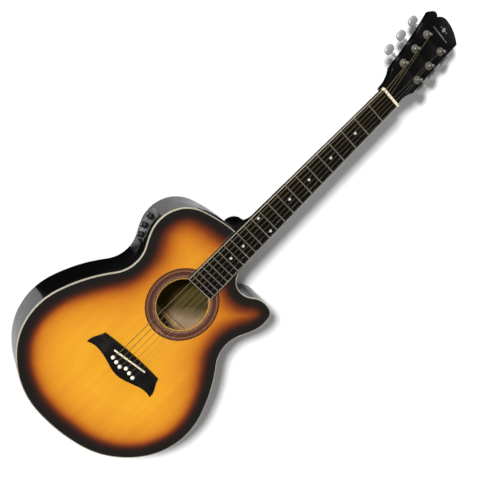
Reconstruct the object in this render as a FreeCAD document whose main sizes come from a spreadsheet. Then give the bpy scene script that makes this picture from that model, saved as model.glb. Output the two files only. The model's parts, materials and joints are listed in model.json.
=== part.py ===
"""Acoustic-electric guitar with a cutaway body, lying on its back.

Row frame, millimetres: +X runs along the neck towards the headstock, +Y is the bass side and
+Z points out of the soundboard.  The origin is the centre of the footprint, on the rest plane.
The shapes are drawn in the scale frame: x = 0 at the theoretical end of the scale (under the
saddle), y = 0 on the centre line, z = 0 on the rest plane.  Every placement then moves its
sub-part by -centre_x, which brings the middle of the whole length to the origin.
"""
import FreeCAD, Part
import math
import os
from FreeCAD import Matrix, Placement, Rotation, Vector

os.makedirs("parts", exist_ok=True)
doc = FreeCAD.newDocument("acoustic_guitar")

# ---------------------------------------------------------------------------------------------
# Driving dimensions
# ---------------------------------------------------------------------------------------------
DIMENSIONS = {
    "scale_length": 648.0,
    "body_height": 84.0,
    "plate_thickness": 2.8,
    "side_thickness": 3.0,
    "binding_height": 6.0,
    "tail_x": -181.6,
    "hole_x": 131.3,
    "hole_radius": 47.8,
    "rosette_inner": 48.8,
    "rosette_outer": 68.2,
    "rosette_depth": 1.0,
    "lining_width": 6.0,
    "lining_height": 10.0,
    "brace_width": 8.0,
    "brace_height": 10.0,
    "block_length": 34.0,
    "neck_block_width": 90.0,
    "tail_block_width": 80.0,
    "tail_block_length": 22.0,
    "fingerboard_end": 172.0,
    "fingerboard_thickness": 7.0,
    "nut_width": 43.0,
    "end_width": 58.0,
    "edge_strip": 0.9,
    "fret_width": 2.4,
    "fret_height": 1.1,
    "dot_radius": 2.6,
    "nut_length": 5.0,
    "nut_height": 9.4,
    "head_tilt": 13.0,
    "head_thickness": 15.0,
    "veneer_thickness": 1.6,
    "head_drop": 1.0,
    "head_length": 181.0,
    "bridge_height": 8.2,
    "bridge_wing": 3.6,
    "saddle_length": 72.0,
    "saddle_width": 3.0,
    "saddle_height": 8.0,
    "saddle_depth": 4.0,
    "pin_radius": 2.5,
    "pin_length": 19.0,
    "string_spread_saddle": 54.4,
    "string_spread_nut": 36.0,
    "post_first": 59.5,
    "post_spacing": 35.5,
    "post_side": 21.3,
    "post_radius": 3.0,
    "post_rise": 15.5,
    "worm_offset": 6.6,
    "worm_depth": 5.5,
    "worm_radius": 1.9,
    "gear_radius": 4.4,
    "button_centre": 49.5,
    "button_half_length": 10.6,
    "button_half_width": 8.1,
    "button_half_thickness": 4.4,
    "running_gap": 0.05,
    "panel_start": 463.0,
    "panel_end": 546.0,
    "panel_low": 26.0,
    "panel_high": 73.0,
    "panel_thickness": 2.2,
    "knob_radius": 5.6,
    "knob_height": 8.0,
    "drawer_width": 18.6,
    "drawer_height": 29.0,
    "drawer_depth": 51.0,
    "jack_bore": 3.25,
    "jack_length": 32.0,
}
sheet = doc.addObject("Spreadsheet::Sheet", "Sizes")
for row, (alias, value) in enumerate(DIMENSIONS.items(), start=1):
    sheet.set("A%d" % row, alias)
    sheet.set("B%d" % row, str(value))
    sheet.setAlias("B%d" % row, alias)
doc.recompute()


def size(alias):
    """Read one driving dimension from the sheet."""
    return float(sheet.get(alias))


SCALE = size("scale_length")
TOP = size("body_height")
PLATE = size("plate_thickness")
SIDE = size("side_thickness")
NUT_BACK = SCALE + size("nut_length")
TILT = math.radians(size("head_tilt"))
JACK_FLANGE = 8.0
CENTRE_X = (NUT_BACK + size("head_length") * math.cos(TILT) + size("tail_x") - JACK_FLANGE) / 2
SHIFT = Vector(-CENTRE_X, 0, 0)
UP = Vector(0, 0, 1)
SUBPARTS = []


# ---------------------------------------------------------------------------------------------
# Helpers
# ---------------------------------------------------------------------------------------------
def keep(obj, label):
    """Give a finished sub-part its name and list it for export."""
    obj.Label = label
    SUBPARTS.append(obj)
    return obj


def feature(label, shape, local=Placement()):
    """A sub-part whose shape is made in code; local places it in the scale frame."""
    obj = doc.addObject("Part::Feature", label)
    obj.Shape = shape
    obj.Placement = Placement(SHIFT, Rotation()).multiply(local).multiply(shape.Placement)
    return keep(obj, label)


def place(obj, local):
    """Put a body drawn at its own origin at a placement in the scale frame."""
    obj.Placement = Placement(SHIFT, Rotation()).multiply(local)


def at(base):
    """A placement that only moves."""
    return Placement(base, Rotation())


def polygon(points):
    """A closed wire through the given points."""
    return Part.makePolygon(list(points) + [points[0]])


def prism(wire, low, high):
    """A solid between two heights over a flat closed wire drawn at z = 0."""
    solid = Part.Face(wire).extrude(Vector(0, 0, high - low))
    solid.translate(Vector(0, 0, low))
    return solid


def block(x0, x1, y0, y1, z0, z1):
    """A box from its two corners."""
    return Part.makeBox(x1 - x0, y1 - y0, z1 - z0, Vector(x0, y0, z0))


def tube(outer, inner, length, base=Vector(), axis=UP):
    """A straight round tube."""
    return Part.makeCylinder(outer, length, base, axis).cut(Part.makeCylinder(inner, length, base, axis))


def arc(a, b, c):
    """An arc edge through three points."""
    return Part.Arc(Vector(*a), Vector(*b), Vector(*c)).toShape()


def curve(points):
    """A smooth edge through the given points."""
    spline = Part.BSplineCurve()
    spline.interpolate([Vector(*p) for p in points])
    return spline.toShape()


def line(a, b):
    """A straight edge."""
    return Part.makeLine(Vector(*a), Vector(*b))


def one_solid(shape):
    """The single solid inside a boolean result."""
    clean = shape.removeSplitter()
    return clean.Solids[0] if len(clean.Solids) == 1 else clean


def plane(body, role):
    """An origin plane or axis of a body, found by its role."""
    return [item for item in body.Origin.OriginFeatures if item.Role == role][0]


def new_sketch(body, name, role="XY_Plane"):
    """A sketch on one of the body's own origin planes."""
    sketch = body.newObject("Sketcher::SketchObject", name)
    sketch.AttachmentSupport = [(plane(body, role), "")]
    sketch.MapMode = "FlatFace"
    return sketch


def sketch_lines(sketch, points):
    """A closed chain of straight lines in a sketch."""
    count = len(points)
    for i in range(count):
        start = Vector(points[i][0], points[i][1], 0)
        end = Vector(points[(i + 1) % count][0], points[(i + 1) % count][1], 0)
        sketch.addGeometry(Part.LineSegment(start, end), False)


def sketch_rectangle(sketch, width, height):
    """A rectangle centred on the sketch origin; both sizes are sheet expressions."""
    import Sketcher
    corners = [(-5, -5), (5, -5), (5, 5), (-5, 5)]
    sketch_lines(sketch, corners)
    for i in range(4):
        sketch.addConstraint(Sketcher.Constraint("Coincident", i, 2, (i + 1) % 4, 1))
    for i in (0, 2):
        sketch.addConstraint(Sketcher.Constraint("Horizontal", i))
    for i in (1, 3):
        sketch.addConstraint(Sketcher.Constraint("Vertical", i))
    sketch.addConstraint(Sketcher.Constraint("Symmetric", 0, 1, 2, 1, -1, 1))
    for name, geo, expression in (("wide", 0, width), ("tall", 1, height)):
        index = sketch.addConstraint(Sketcher.Constraint("Distance", geo, 10.0))
        sketch.renameConstraint(index, name)
        sketch.setExpression("Constraints." + name, expression)


def padded_rectangle(label, width, height, length):
    """A PartDesign body: a centred rectangle padded upwards; sizes are sheet expressions."""
    body = doc.addObject("PartDesign::Body", label)
    sketch = new_sketch(body, label + "_outline")
    sketch_rectangle(sketch, width, height)
    pad = body.newObject("PartDesign::Pad", label + "_pad")
    pad.Profile = sketch
    pad.setExpression("Length", length)
    doc.recompute()
    return keep(body, label)


def turned(label, profile):
    """A PartDesign body turned about its own Z axis from a (radius, height) profile."""
    body = doc.addObject("PartDesign::Body", label)
    sketch = new_sketch(body, label + "_profile", "XZ_Plane")
    sketch_lines(sketch, profile)
    turn = body.newObject("PartDesign::Revolution", label + "_turn")
    turn.Profile = sketch
    turn.ReferenceAxis = (sketch, ["V_Axis"])
    turn.Angle = 360.0
    doc.recompute()
    return keep(body, label)


# ---------------------------------------------------------------------------------------------
# Body outline: a chain of tangent arcs, (radius, sweep in degrees), from the tail to the neck.
# A positive radius turns right.  The lower bout and waist are the same on both sides.
# ---------------------------------------------------------------------------------------------
SHARED_ARCS = [(361.3, 8.58), (176.0, 40.43), (124.7, 60.63), (284.3, 20.68), (-60.9, 72.15),
               (140.8, 10.17)]
SHOULDER_ARCS = [(66.1, 92.95), (302.5, 14.09)]
CUTAWAY_ARCS = [(58.6, 34.52), (15.3, 55.68), (45.3, 8.05), (44.6, 50.44), (-38.7, 51.75),
                (-29.4, 67.04)]


def arc_step(state, radius, sweep):
    """The (x, y, heading) reached after turning along one arc."""
    x, y, heading = state
    turn = -math.radians(sweep) if radius > 0 else math.radians(sweep)
    bend = abs(radius)
    side = -1 if radius > 0 else 1
    centre = (x - side * bend * math.sin(heading), y + side * bend * math.cos(heading))
    after = heading + turn
    return (centre[0] + side * bend * math.sin(after), centre[1] - side * bend * math.cos(after), after)


def chain(arcs, mirror=1):
    """Edges of a chain of arcs and its end point; mirror = -1 draws the treble side."""
    state = (size("tail_x"), 0.0, math.pi / 2)
    edges = []
    for radius, sweep in arcs:
        middle = arc_step(state, radius, sweep / 2)
        end = arc_step(state, radius, sweep)
        edges.append(arc((state[0], mirror * state[1], 0), (middle[0], mirror * middle[1], 0),
                         (end[0], mirror * end[1], 0)))
        state = end
    return edges, Vector(state[0], mirror * state[1], 0)


def side_frame(distance):
    """Point, tangent angle and outward normal on the bass outline, measured along it."""
    state = (size("tail_x"), 0.0, math.pi / 2)
    for radius, sweep in SHARED_ARCS + SHOULDER_ARCS:
        length = abs(radius) * math.radians(sweep)
        if distance <= length:
            x, y, heading = arc_step(state, radius, sweep * distance / length)
            normal = Vector(-math.sin(heading), math.cos(heading), 0)
            return Vector(x, y, 0), heading, normal
        distance -= length
        state = arc_step(state, radius, sweep)
    raise ValueError("distance runs past the outline")


bass_edges, bass_end = chain(SHARED_ARCS + SHOULDER_ARCS)
treble_edges, treble_bend = chain(SHARED_ARCS + CUTAWAY_ARCS, -1)
NECK_JOINT = bass_end.x
treble_end = Vector(NECK_JOINT, -28.0, 0)
treble_edges.append(Part.makeLine(treble_bend, treble_end))
outline = Part.Wire(bass_edges + [Part.makeLine(bass_end, treble_end)] + treble_edges[::-1])


def inset(distance):
    """The body outline moved inwards."""
    return outline.makeOffset2D(-distance, join=2) if distance else outline


BACK_TOP = PLATE
TOP_UNDER = TOP - PLATE
BINDING_LOW = TOP - size("binding_height")
HOLE = Vector(size("hole_x"), 0, 0)


def bass_half():
    """Everything on the bass side of the seam, used to split a ring in two."""
    return block(-250, NECK_JOINT + 60, 0, 260, -10, TOP + 20)


def treble_half():
    """Everything on the treble side of the seam."""
    return block(-250, NECK_JOINT + 60, -260, 0, -10, TOP + 20)


# ---------------------------------------------------------------------------------------------
# Bridge pins, strings: shared layout
# ---------------------------------------------------------------------------------------------
STRING_COUNT = 6
STRING_DIAMETERS = [0.30, 0.41, 0.61, 0.81, 1.07, 1.35]
BRIDGE_TOP = TOP + size("bridge_height")
SADDLE_TOP = BRIDGE_TOP - size("saddle_depth") + size("saddle_height")
SADDLE_X = -3.7
SADDLE_SLOPE = -0.081
FRETBOARD_TOP = TOP + size("fingerboard_thickness")
FRET_TOP = FRETBOARD_TOP + size("fret_height")
NUT_SLOT = FRET_TOP + 0.6
STRING_HOLE_GAP = 0.1
BALL_RADIUS = 2.0
BALL_LENGTH = 3.4
BRIDGE_PLATE_THICK = 2.5
BALL_TOP = TOP_UNDER - BRIDGE_PLATE_THICK - 0.1


def string_y(number, spread):
    """Sideways place of a string; number 1 is the thinnest, on the treble side."""
    return (number - 3.5) * spread / (STRING_COUNT - 1)


def pin_place(number):
    """Centre of a bridge pin: two slanting rows of three, as the bridge is drilled."""
    step = (STRING_COUNT - number) % 3
    return Vector(-18.2 - 2.45 * step, string_y(number, size("string_spread_saddle")), 0)


def string_hole(number):
    """Centre of the string's own groove, on the saddle side of its pin."""
    reach = size("pin_radius") + STRING_DIAMETERS[number - 1] / 2 + STRING_HOLE_GAP
    return pin_place(number) + Vector(reach, 0, 0)


def pin_holes(low, high):
    """Pin holes with their string grooves, to cut from the bridge, top and bridge plate."""
    holes = []
    for number in range(1, STRING_COUNT + 1):
        base = pin_place(number) + Vector(0, 0, low)
        holes.append(Part.makeCylinder(size("pin_radius") + 0.02, high - low, base))
        groove = STRING_DIAMETERS[number - 1] / 2 + STRING_HOLE_GAP
        base = string_hole(number) + Vector(0, 0, low)
        holes.append(Part.makeCylinder(groove, high - low, base))
    return holes


# ---------------------------------------------------------------------------------------------
# Body shell
# ---------------------------------------------------------------------------------------------
def make_soundboard():
    """Top plate inside the binding, with the sound hole, pin holes and rosette recess."""
    plate = prism(inset(SIDE), TOP_UNDER, TOP)
    cuts = [Part.makeCylinder(size("hole_radius"), PLATE, HOLE + Vector(0, 0, TOP_UNDER))]
    recess = tube(size("rosette_outer"), size("rosette_inner"), size("rosette_depth"),
                  HOLE + Vector(0, 0, TOP - size("rosette_depth")))
    cuts.append(recess)
    cuts.extend(pin_holes(TOP_UNDER, TOP))
    board = plate.cut(cuts)
    return Part.makeCompound([one_solid(board.common(half)) for half in (bass_half(), treble_half())])


feature("soundboard", make_soundboard())
feature("back_plate", prism(outline, 0, BACK_TOP))
BOLT_LEVELS = (26.0, 54.0)
ROD_LEVEL = TOP_UNDER - 6.0
joint_holes = [Part.makeCylinder(3.3, 70, Vector(NECK_JOINT - 60, 0, level), Vector(1, 0, 0))
               for level in BOLT_LEVELS]
joint_holes.append(Part.makeCylinder(5.2, 70, Vector(NECK_JOINT - 60, 0, ROD_LEVEL), Vector(1, 0, 0)))
inside_sides = prism(inset(SIDE), BACK_TOP, BINDING_LOW)
side_ring = prism(outline, BACK_TOP, BINDING_LOW).cut([inside_sides] + joint_holes)
binding_ring = prism(outline, BINDING_LOW, TOP).cut(prism(inset(SIDE), BINDING_LOW, TOP))
feature("top_binding", one_solid(binding_ring))

rosette = turned("rosette", [(size("rosette_inner"), 0), (size("rosette_outer"), 0),
                             (size("rosette_outer"), size("rosette_depth")),
                             (size("rosette_inner"), size("rosette_depth"))])
place(rosette, at(HOLE + Vector(0, 0, TOP - size("rosette_depth"))))

# ---------------------------------------------------------------------------------------------
# Preamp layout on the bass side of the upper bout
# ---------------------------------------------------------------------------------------------
PANEL_MID = (size("panel_low") + size("panel_high")) / 2
KNOB_PLACES = {"volume_knob": 532.0, "bass_knob": 514.0, "treble_knob": 496.5}
KNOB_LEVEL = PANEL_MID - 6.0
BUTTON_DISTANCE = 505.0
BUTTON_LEVEL = PANEL_MID + 12.0
DRAWER_DISTANCE = 475.5
SHAFT_RADIUS = 3.0
BUTTON_RADIUS = 2.6
BUTTON_GAP = 0.35
SHAFT_GAP = 0.06
DRAWER_GAP = 0.5
HOUSING_TOP = 70.6


def outward(distance, level, stand_off=0.0):
    """Placement in the scale frame with local Z outwards and local Y upwards at a side spot."""
    point, heading, normal = side_frame(distance)
    base = point + normal * stand_off + Vector(0, 0, level)
    tangent = Vector(math.cos(heading), math.sin(heading), 0)
    matrix = Matrix(-tangent.x, 0, normal.x, base.x,
                    -tangent.y, 0, normal.y, base.y,
                    0, 1, 0, base.z,
                    0, 0, 0, 1)
    return Placement(matrix)


def at_side(shape, distance, level, stand_off=0.0):
    """A shape drawn at the origin, moved to a spot on the side."""
    moved = shape.copy()
    moved.Placement = outward(distance, level, stand_off).multiply(moved.Placement)
    return moved


def side_openings(knob_radius, button_radius, drawer_margin):
    """Cutters through the side for the knob shafts, the button and the battery drawer."""
    reach = 14.0
    shaft = Part.makeCylinder(knob_radius, reach, Vector(0, 0, -reach / 2))
    cutters = [at_side(shaft, distance, KNOB_LEVEL) for distance in KNOB_PLACES.values()]
    button = Part.makeCylinder(button_radius, reach, Vector(0, 0, -reach / 2))
    cutters.append(at_side(button, BUTTON_DISTANCE, BUTTON_LEVEL))
    wide = size("drawer_width") + 2 * drawer_margin
    tall = size("drawer_height") + 2 * drawer_margin
    slot = Part.makeBox(wide, tall, 2 * reach, Vector(-wide / 2, -tall / 2, -reach))
    cutters.append(at_side(slot, DRAWER_DISTANCE, PANEL_MID))
    return cutters


def wedge_between(start, end, low, high, inner, outer):
    """A curved slab along the bass side between two distances, from inside to outside it."""
    lines_in = []
    lines_out = []
    steps = 16
    for i in range(steps + 1):
        point, _, normal = side_frame(start + (end - start) * i / steps)
        lines_in.append(point + normal * inner)
        lines_out.append(point + normal * outer)
    wire = Part.Wire([curve([tuple(p) for p in lines_in]), Part.makeLine(lines_in[-1], lines_out[-1]),
                      curve([tuple(p) for p in lines_out[::-1]]),
                      Part.makeLine(lines_out[0], lines_in[0])])
    return prism(wire, low, high)


jack_hole = Part.makeCylinder(6.0, 60, Vector(size("tail_x") - 20, 0, TOP / 2), Vector(1, 0, 0))
rim_openings = side_openings(SHAFT_RADIUS + 1.0, BUTTON_RADIUS + 1.0, 0.8)
WIDEST = -68.0
NARROWEST = 112.0
SIDE_SPANS = {"tail": (-200, WIDEST), "waist": (WIDEST, NARROWEST), "shoulder": (NARROWEST, 300)}


def make_side(half, name, start, end):
    """One length of the bent rim, between two places along the body."""
    span = side_ring.common(half).common(block(start, end, -220, 220, -5, TOP + 5))
    feature(name, one_solid(span.cut(rim_openings + [jack_hole])))


for span_name, (start, end) in SIDE_SPANS.items():
    make_side(bass_half(), "bass_side_" + span_name, start, end)
    make_side(treble_half(), "treble_side_" + span_name, start, end)

# ---------------------------------------------------------------------------------------------
# Blocks, linings and braces
# ---------------------------------------------------------------------------------------------
cavity = prism(inset(SIDE), BACK_TOP, TOP_UNDER)
NECK_BLOCK_X = NECK_JOINT - SIDE - size("block_length")
neck_block_box = block(NECK_BLOCK_X, NECK_JOINT, -27.0, size("neck_block_width") / 2, BACK_TOP, TOP_UNDER)
feature("neck_block", one_solid(neck_block_box.common(cavity).cut(joint_holes)))

tail_block_box = block(size("tail_x"), size("tail_x") + SIDE + size("tail_block_length"),
                       -size("tail_block_width") / 2, size("tail_block_width") / 2, BACK_TOP, TOP_UNDER)
feature("tail_block", one_solid(tail_block_box.common(cavity).cut(jack_hole)))

lining_room = [block(NECK_BLOCK_X, NECK_JOINT + 5, -60, size("neck_block_width") / 2, -5, TOP + 5),
               block(size("tail_x") - 5, size("tail_x") + SIDE + size("tail_block_length"),
                     -size("tail_block_width") / 2, size("tail_block_width") / 2, -5, TOP + 5)]
preamp_room = wedge_between(size("panel_start") - 4, size("panel_end") + 4,
                            10, HOUSING_TOP + 0.3, -50, -0.5)


def make_lining(low, high):
    """A glued strip inside the rim, broken by the two end blocks."""
    ring = prism(inset(SIDE), low, high).cut(prism(inset(SIDE + size("lining_width")), low, high))
    return ring.cut(lining_room).cut(preamp_room)


feature("linings", Part.makeCompound(
    make_lining(TOP_UNDER - size("lining_height"), TOP_UNDER).Solids
    + make_lining(BACK_TOP, BACK_TOP + size("lining_height")).Solids))

inner_room = prism(inset(SIDE + size("lining_width")), BACK_TOP, TOP_UNDER)
BRACE_LOW = TOP_UNDER - size("brace_height")
CROSS = Vector(56.0, 0, 0)
CROSS_ANGLE = 49.0


def brace(length, width, low, high, centre, angle):
    """A straight brace bar, turned about the vertical and centred on a point."""
    bar = block(-length / 2, length / 2, -width / 2, width / 2, low, high)
    bar.rotate(Vector(), UP, angle)
    bar.translate(centre)
    return bar


def x_brace(angle, notch_low, notch_high):
    """One leg of the cross brace, halved where the other leg crosses it."""
    width = size("brace_width")
    bar = brace(420, width, BRACE_LOW, TOP_UNDER, CROSS, angle)
    other = brace(60, width, notch_low, notch_high, CROSS, -angle)
    trimmed = bar.cut(other).common(inner_room).cut(lining_room)
    return max(trimmed.Solids, key=lambda solid: solid.Volume)


half_way = (BRACE_LOW + TOP_UNDER) / 2
top_braces = [x_brace(CROSS_ANGLE, half_way, TOP_UNDER), x_brace(-CROSS_ANGLE, BRACE_LOW, half_way)]

transverse = padded_rectangle("transverse_brace", "Sizes.brace_width * 1.4", "210", "Sizes.brace_height")
place(transverse, at(Vector(204, 5, BRACE_LOW)))


def tone_bar(centre, angle, length):
    """A small bar on the top, below the cross brace."""
    return brace(length, 6.0, TOP_UNDER - 7.0, TOP_UNDER, centre, angle)


top_braces += [tone_bar(Vector(-62, 22, 0), 70, 118), tone_bar(Vector(-112, 30, 0), 70, 108)]

bridge_plate_box = block(-34, 14, -62, 62, TOP_UNDER - BRIDGE_PLATE_THICK, TOP_UNDER)
leg_room = [brace(420, size("brace_width") + 0.4, BRACE_LOW, TOP_UNDER, CROSS, angle)
            for angle in (CROSS_ANGLE, -CROSS_ANGLE)]
plate_parts = bridge_plate_box.cut(leg_room + pin_holes(TOP_UNDER - 3, TOP_UNDER)).Solids
top_braces.append(max(plate_parts, key=lambda solid: solid.Volume))
feature("top_braces", Part.makeCompound(top_braces))

BACK_BRACE_X = [-110.0, -25.0, 90.0, 205.0]


def back_brace(x):
    """A ladder brace across the back."""
    bar = block(x - 4.5, x + 4.5, -200, 200, BACK_TOP, BACK_TOP + 12.0)
    return max(bar.common(inner_room).cut(preamp_room).Solids, key=lambda solid: solid.Volume)


feature("back_braces", Part.makeCompound([back_brace(x) for x in BACK_BRACE_X]))

# ---------------------------------------------------------------------------------------------
# Neck, headstock and fingerboard
# ---------------------------------------------------------------------------------------------
HEAD_ORIGIN = Vector(NUT_BACK, 0, TOP + size("head_drop"))
HEAD_ALONG = Vector(math.cos(TILT), 0, -math.sin(TILT))
HEAD_UP = Vector(math.sin(TILT), 0, math.cos(TILT))
HEAD_FRAME = Placement(HEAD_ORIGIN, Rotation(Vector(0, 1, 0), size("head_tilt")))
HEAD_START = -4.2


def head_place(along, across, above):
    """A point given in the headstock's own frame, in the scale frame."""
    return HEAD_ORIGIN + HEAD_ALONG * along + Vector(0, across, 0) + HEAD_UP * above


def half_width(x):
    """Half the fingerboard's width at a place along the scale."""
    slope = (size("end_width") - size("nut_width")) / 2 / (SCALE - size("fingerboard_end"))
    return size("nut_width") / 2 + slope * (SCALE - x)


def neck_section(x, depth):
    """A D-shaped cross-section of the neck, flat side up at the top of the body."""
    half = half_width(min(x, SCALE))
    back = Part.BSplineCurve()
    points = [Vector(x, -half, TOP), Vector(x, -half * 0.93, TOP - depth * 0.36),
              Vector(x, -half * 0.62, TOP - depth * 0.80), Vector(x, 0, TOP - depth),
              Vector(x, half * 0.62, TOP - depth * 0.80), Vector(x, half * 0.93, TOP - depth * 0.36),
              Vector(x, half, TOP)]
    back.interpolate(points)
    return Part.Wire([back.toShape(), Part.makeLine(points[-1], points[0])])


def heel_section(z, half, nose):
    """A U-shaped horizontal section of the heel, flat against the body."""
    x0 = NECK_JOINT
    front = curve([(x0, half, z), (x0 + nose * 0.55, half * 0.86, z), (x0 + nose * 0.92, half * 0.42, z),
                   (x0 + nose, 0, z), (x0 + nose * 0.92, -half * 0.42, z),
                   (x0 + nose * 0.55, -half * 0.86, z), (x0, -half, z)])
    return Part.Wire([front, line((x0, -half, z), (x0, half, z))])


def headstock_wire():
    """Outline of the headstock in its own plane: a flared blade with a notched, lopsided tip."""
    waist = 21.6
    blade = (60, 32.6, 0)
    bass_lobe = (173.0, 37.0, 0)
    notch = (168.8, 26.6, 0)
    tip = (size("head_length"), 6, 0)
    corner = (167.4, -36.9, 0)
    edges = [line((HEAD_START, -waist, 0), (HEAD_START, waist, 0)),
             line((HEAD_START, waist, 0), (8, waist, 0)),
             arc((8, waist, 0), (23.5, 24.6, 0), (37, 31.5, 0)),
             line((37, 31.5, 0), blade),
             arc(blade, (111, 35.8, 0), (161, 42.4, 0)),
             arc((161, 42.4, 0), (169.2, 41.6, 0), bass_lobe),
             arc(bass_lobe, (173.1, 31.4, 0), notch),
             arc(notch, (177.7, 18.8, 0), tip),
             arc(tip, (177.52, -16.5, 0), corner),
             arc(corner, (165.6, -38.6, 0), (162.4, -38.6, 0)),
             arc((162.4, -38.6, 0), (111, -34.9, 0), (blade[0], -blade[1], 0)),
             line((blade[0], -blade[1], 0), (37, -31.5, 0)),
             arc((37, -31.5, 0), (23.5, -24.6, 0), (8, -waist, 0)),
             line((8, -waist, 0), (HEAD_START, -waist, 0))]
    return Part.Wire(edges)


def in_head_frame(shape):
    """A shape drawn in the headstock's own frame, moved to the headstock."""
    moved = shape.copy()
    moved.Placement = HEAD_FRAME.multiply(moved.Placement)
    return moved


TUNERS = []
for place_number in range(3):
    along = size("post_first") + place_number * size("post_spacing")
    TUNERS.append((6 - place_number, along, 1))
    TUNERS.append((1 + place_number, along, -1))
TUNERS.sort()
BUSHING_RADIUS = 4.95
HEAD_BACK = -size("head_thickness")
VENEER = size("veneer_thickness")
SCREW_OFFSET = -11.5


def head_drillings(low, high, with_screws):
    """Post holes, and the housing screw holes, drawn in the headstock's frame."""
    cutters = []
    for _, along, hand in TUNERS:
        base = Vector(along, hand * size("post_side"), low)
        cutters.append(Part.makeCylinder(BUSHING_RADIUS + 0.02, high - low, base))
        if with_screws:
            base = Vector(along + SCREW_OFFSET, hand * size("post_side"), HEAD_BACK - 1)
            cutters.append(Part.makeCylinder(1.3, 10.0, base))
    return cutters


ROD_CHANNEL = (6.4, 9.4)


def make_neck():
    """One-piece neck: shaft, heel and headstock core, with the truss rod channel."""
    stations = [(NECK_JOINT, 21.0), (390, 17.6), (520, 16.0), (SCALE - 12, 14.6), (NUT_BACK + 4, 15.2)]
    shaft = Part.makeLoft([neck_section(x, depth) for x, depth in stations], True, False)
    levels = [(9.5, 25.0, 25.5), (24, 25.6, 26.5), (42, 26.4, 30.0), (56, 27.0, 37.0), (68, 27.1, 53.0),
              (76, 27.1, 76.0)]
    heel = Part.makeLoft([heel_section(z, half, nose) for z, half, nose in levels], True, False)
    head = prism(headstock_wire(), HEAD_BACK, -VENEER)
    head = in_head_frame(head.cut(head_drillings(HEAD_BACK - 1, 1, True)))
    above_neck = block(NUT_BACK - 30, NUT_BACK, -40, 40, TOP, TOP + 30)
    neck = shaft.fuse([heel.cut(block(NECK_JOINT, NECK_JOINT + 120, -40, 40, 74.0, 90.0)), head])
    channel = block(NECK_JOINT - 2, SCALE - 8, -ROD_CHANNEL[0] / 2, ROD_CHANNEL[0] / 2,
                    TOP - ROD_CHANNEL[1], TOP + 1)
    bolts = [Part.makeCylinder(2.9, 20, Vector(NECK_JOINT - 1, 0, level), Vector(1, 0, 0))
             for level in BOLT_LEVELS]
    rod_way = Part.makeCylinder(3.0, 6, Vector(NECK_JOINT - 2, 0, ROD_LEVEL), Vector(1, 0, 0))
    above_head = in_head_frame(block(0.4, 200, -60, 60, -VENEER, 30))
    neck = neck.cut([channel, rod_way, above_neck, above_head] + bolts)
    return max(neck.removeSplitter().Solids, key=lambda solid: solid.Volume)


feature("neck", make_neck())
feature("heel_cap", prism(Part.Wire(heel_section(0, 25.0, 25.5).Edges), 6.9, 9.5))

veneer = prism(headstock_wire(), -VENEER, 0).cut(block(-20, 0.4, -40, 40, -5, 5))
feature("headstock_veneer", one_solid(in_head_frame(veneer.cut(head_drillings(-3, 1, False)))))

rod_body = block(NECK_JOINT + 1, SCALE - 9, -3.1, 3.1, TOP - 9.3, TOP - 0.1)
rod_shank = Part.makeCylinder(2.6, 60, Vector(NECK_JOINT + 1, 0, ROD_LEVEL), Vector(-1, 0, 0))
rod_head = Part.makeCylinder(4.8, 12, Vector(NECK_JOINT - 58, 0, ROD_LEVEL), Vector(1, 0, 0))
hex_socket = Part.makeCylinder(2.4, 6, Vector(NECK_JOINT - 58.5, 0, ROD_LEVEL), Vector(1, 0, 0))
truss_rod = rod_body.fuse([rod_shank, rod_head]).cut(hex_socket)
feature("truss_rod", one_solid(truss_rod))

neck_bolts = []
for level in BOLT_LEVELS:
    start = Vector(NECK_BLOCK_X, 0, level)
    shank = Part.makeCylinder(2.8, size("block_length") + SIDE + 16, start, Vector(1, 0, 0))
    washer = Part.makeCylinder(7.0, 1.5, start - Vector(1.5, 0, 0), Vector(1, 0, 0))
    head = Part.makeCylinder(4.8, 5.0, start - Vector(6.5, 0, 0), Vector(1, 0, 0))
    socket = Part.makeCylinder(2.4, 3.5, start - Vector(6.6, 0, 0), Vector(1, 0, 0))
    neck_bolts.append(one_solid(shank.fuse([washer, head]).cut(socket)))
feature("neck_bolts", Part.makeCompound(neck_bolts))


def board_wire(strip):
    """Outline of the fingerboard, less an edge strip along the sides and the end."""
    x0 = size("fingerboard_end") + strip
    return polygon([Vector(x0, -half_width(x0) + strip, 0), Vector(SCALE, -half_width(SCALE) + strip, 0),
                    Vector(SCALE, half_width(SCALE) - strip, 0), Vector(x0, half_width(x0) - strip, 0)])


def fret_x(number):
    """Place of a fret by equal temperament."""
    return SCALE * 2 ** (-number / 12)


FRET_COUNT = 22
FRET_TANG = (0.5, 1.8)
DOT_FRETS = [(3, (0,)), (5, (0,)), (7, (0,)), (9, (0,)), (12, (17.0, -17.0)), (15, (0,)), (17, (0,))]
DOT_DEPTH = 1.5


def dot_cylinders(radius):
    """Round position markers between the frets."""
    dots = []
    for number, places in DOT_FRETS:
        x = (fret_x(number) + fret_x(number - 1)) / 2
        for y in places:
            dots.append(Part.makeCylinder(radius, DOT_DEPTH, Vector(x, y, FRETBOARD_TOP - DOT_DEPTH)))
    return dots


STRIP_LOW = FRETBOARD_TOP - 1.8
edge_strips = prism(board_wire(0), STRIP_LOW, FRETBOARD_TOP).cut(
    prism(board_wire(size("edge_strip")), STRIP_LOW, FRETBOARD_TOP))


def make_fingerboard():
    """Dark board with fret slots and marker holes, rebated for its edge strips."""
    board = prism(board_wire(0), TOP, FRETBOARD_TOP)
    cuts = dot_cylinders(size("dot_radius")) + [edge_strips]
    for number in range(1, FRET_COUNT + 1):
        x = fret_x(number)
        reach = half_width(x) - size("edge_strip") - 0.6
        cuts.append(block(x - FRET_TANG[0] / 2 - 0.03, x + FRET_TANG[0] / 2 + 0.03, -reach, reach,
                          FRETBOARD_TOP - FRET_TANG[1] - 0.1, FRETBOARD_TOP + 1))
    return one_solid(board.cut(cuts))


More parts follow.
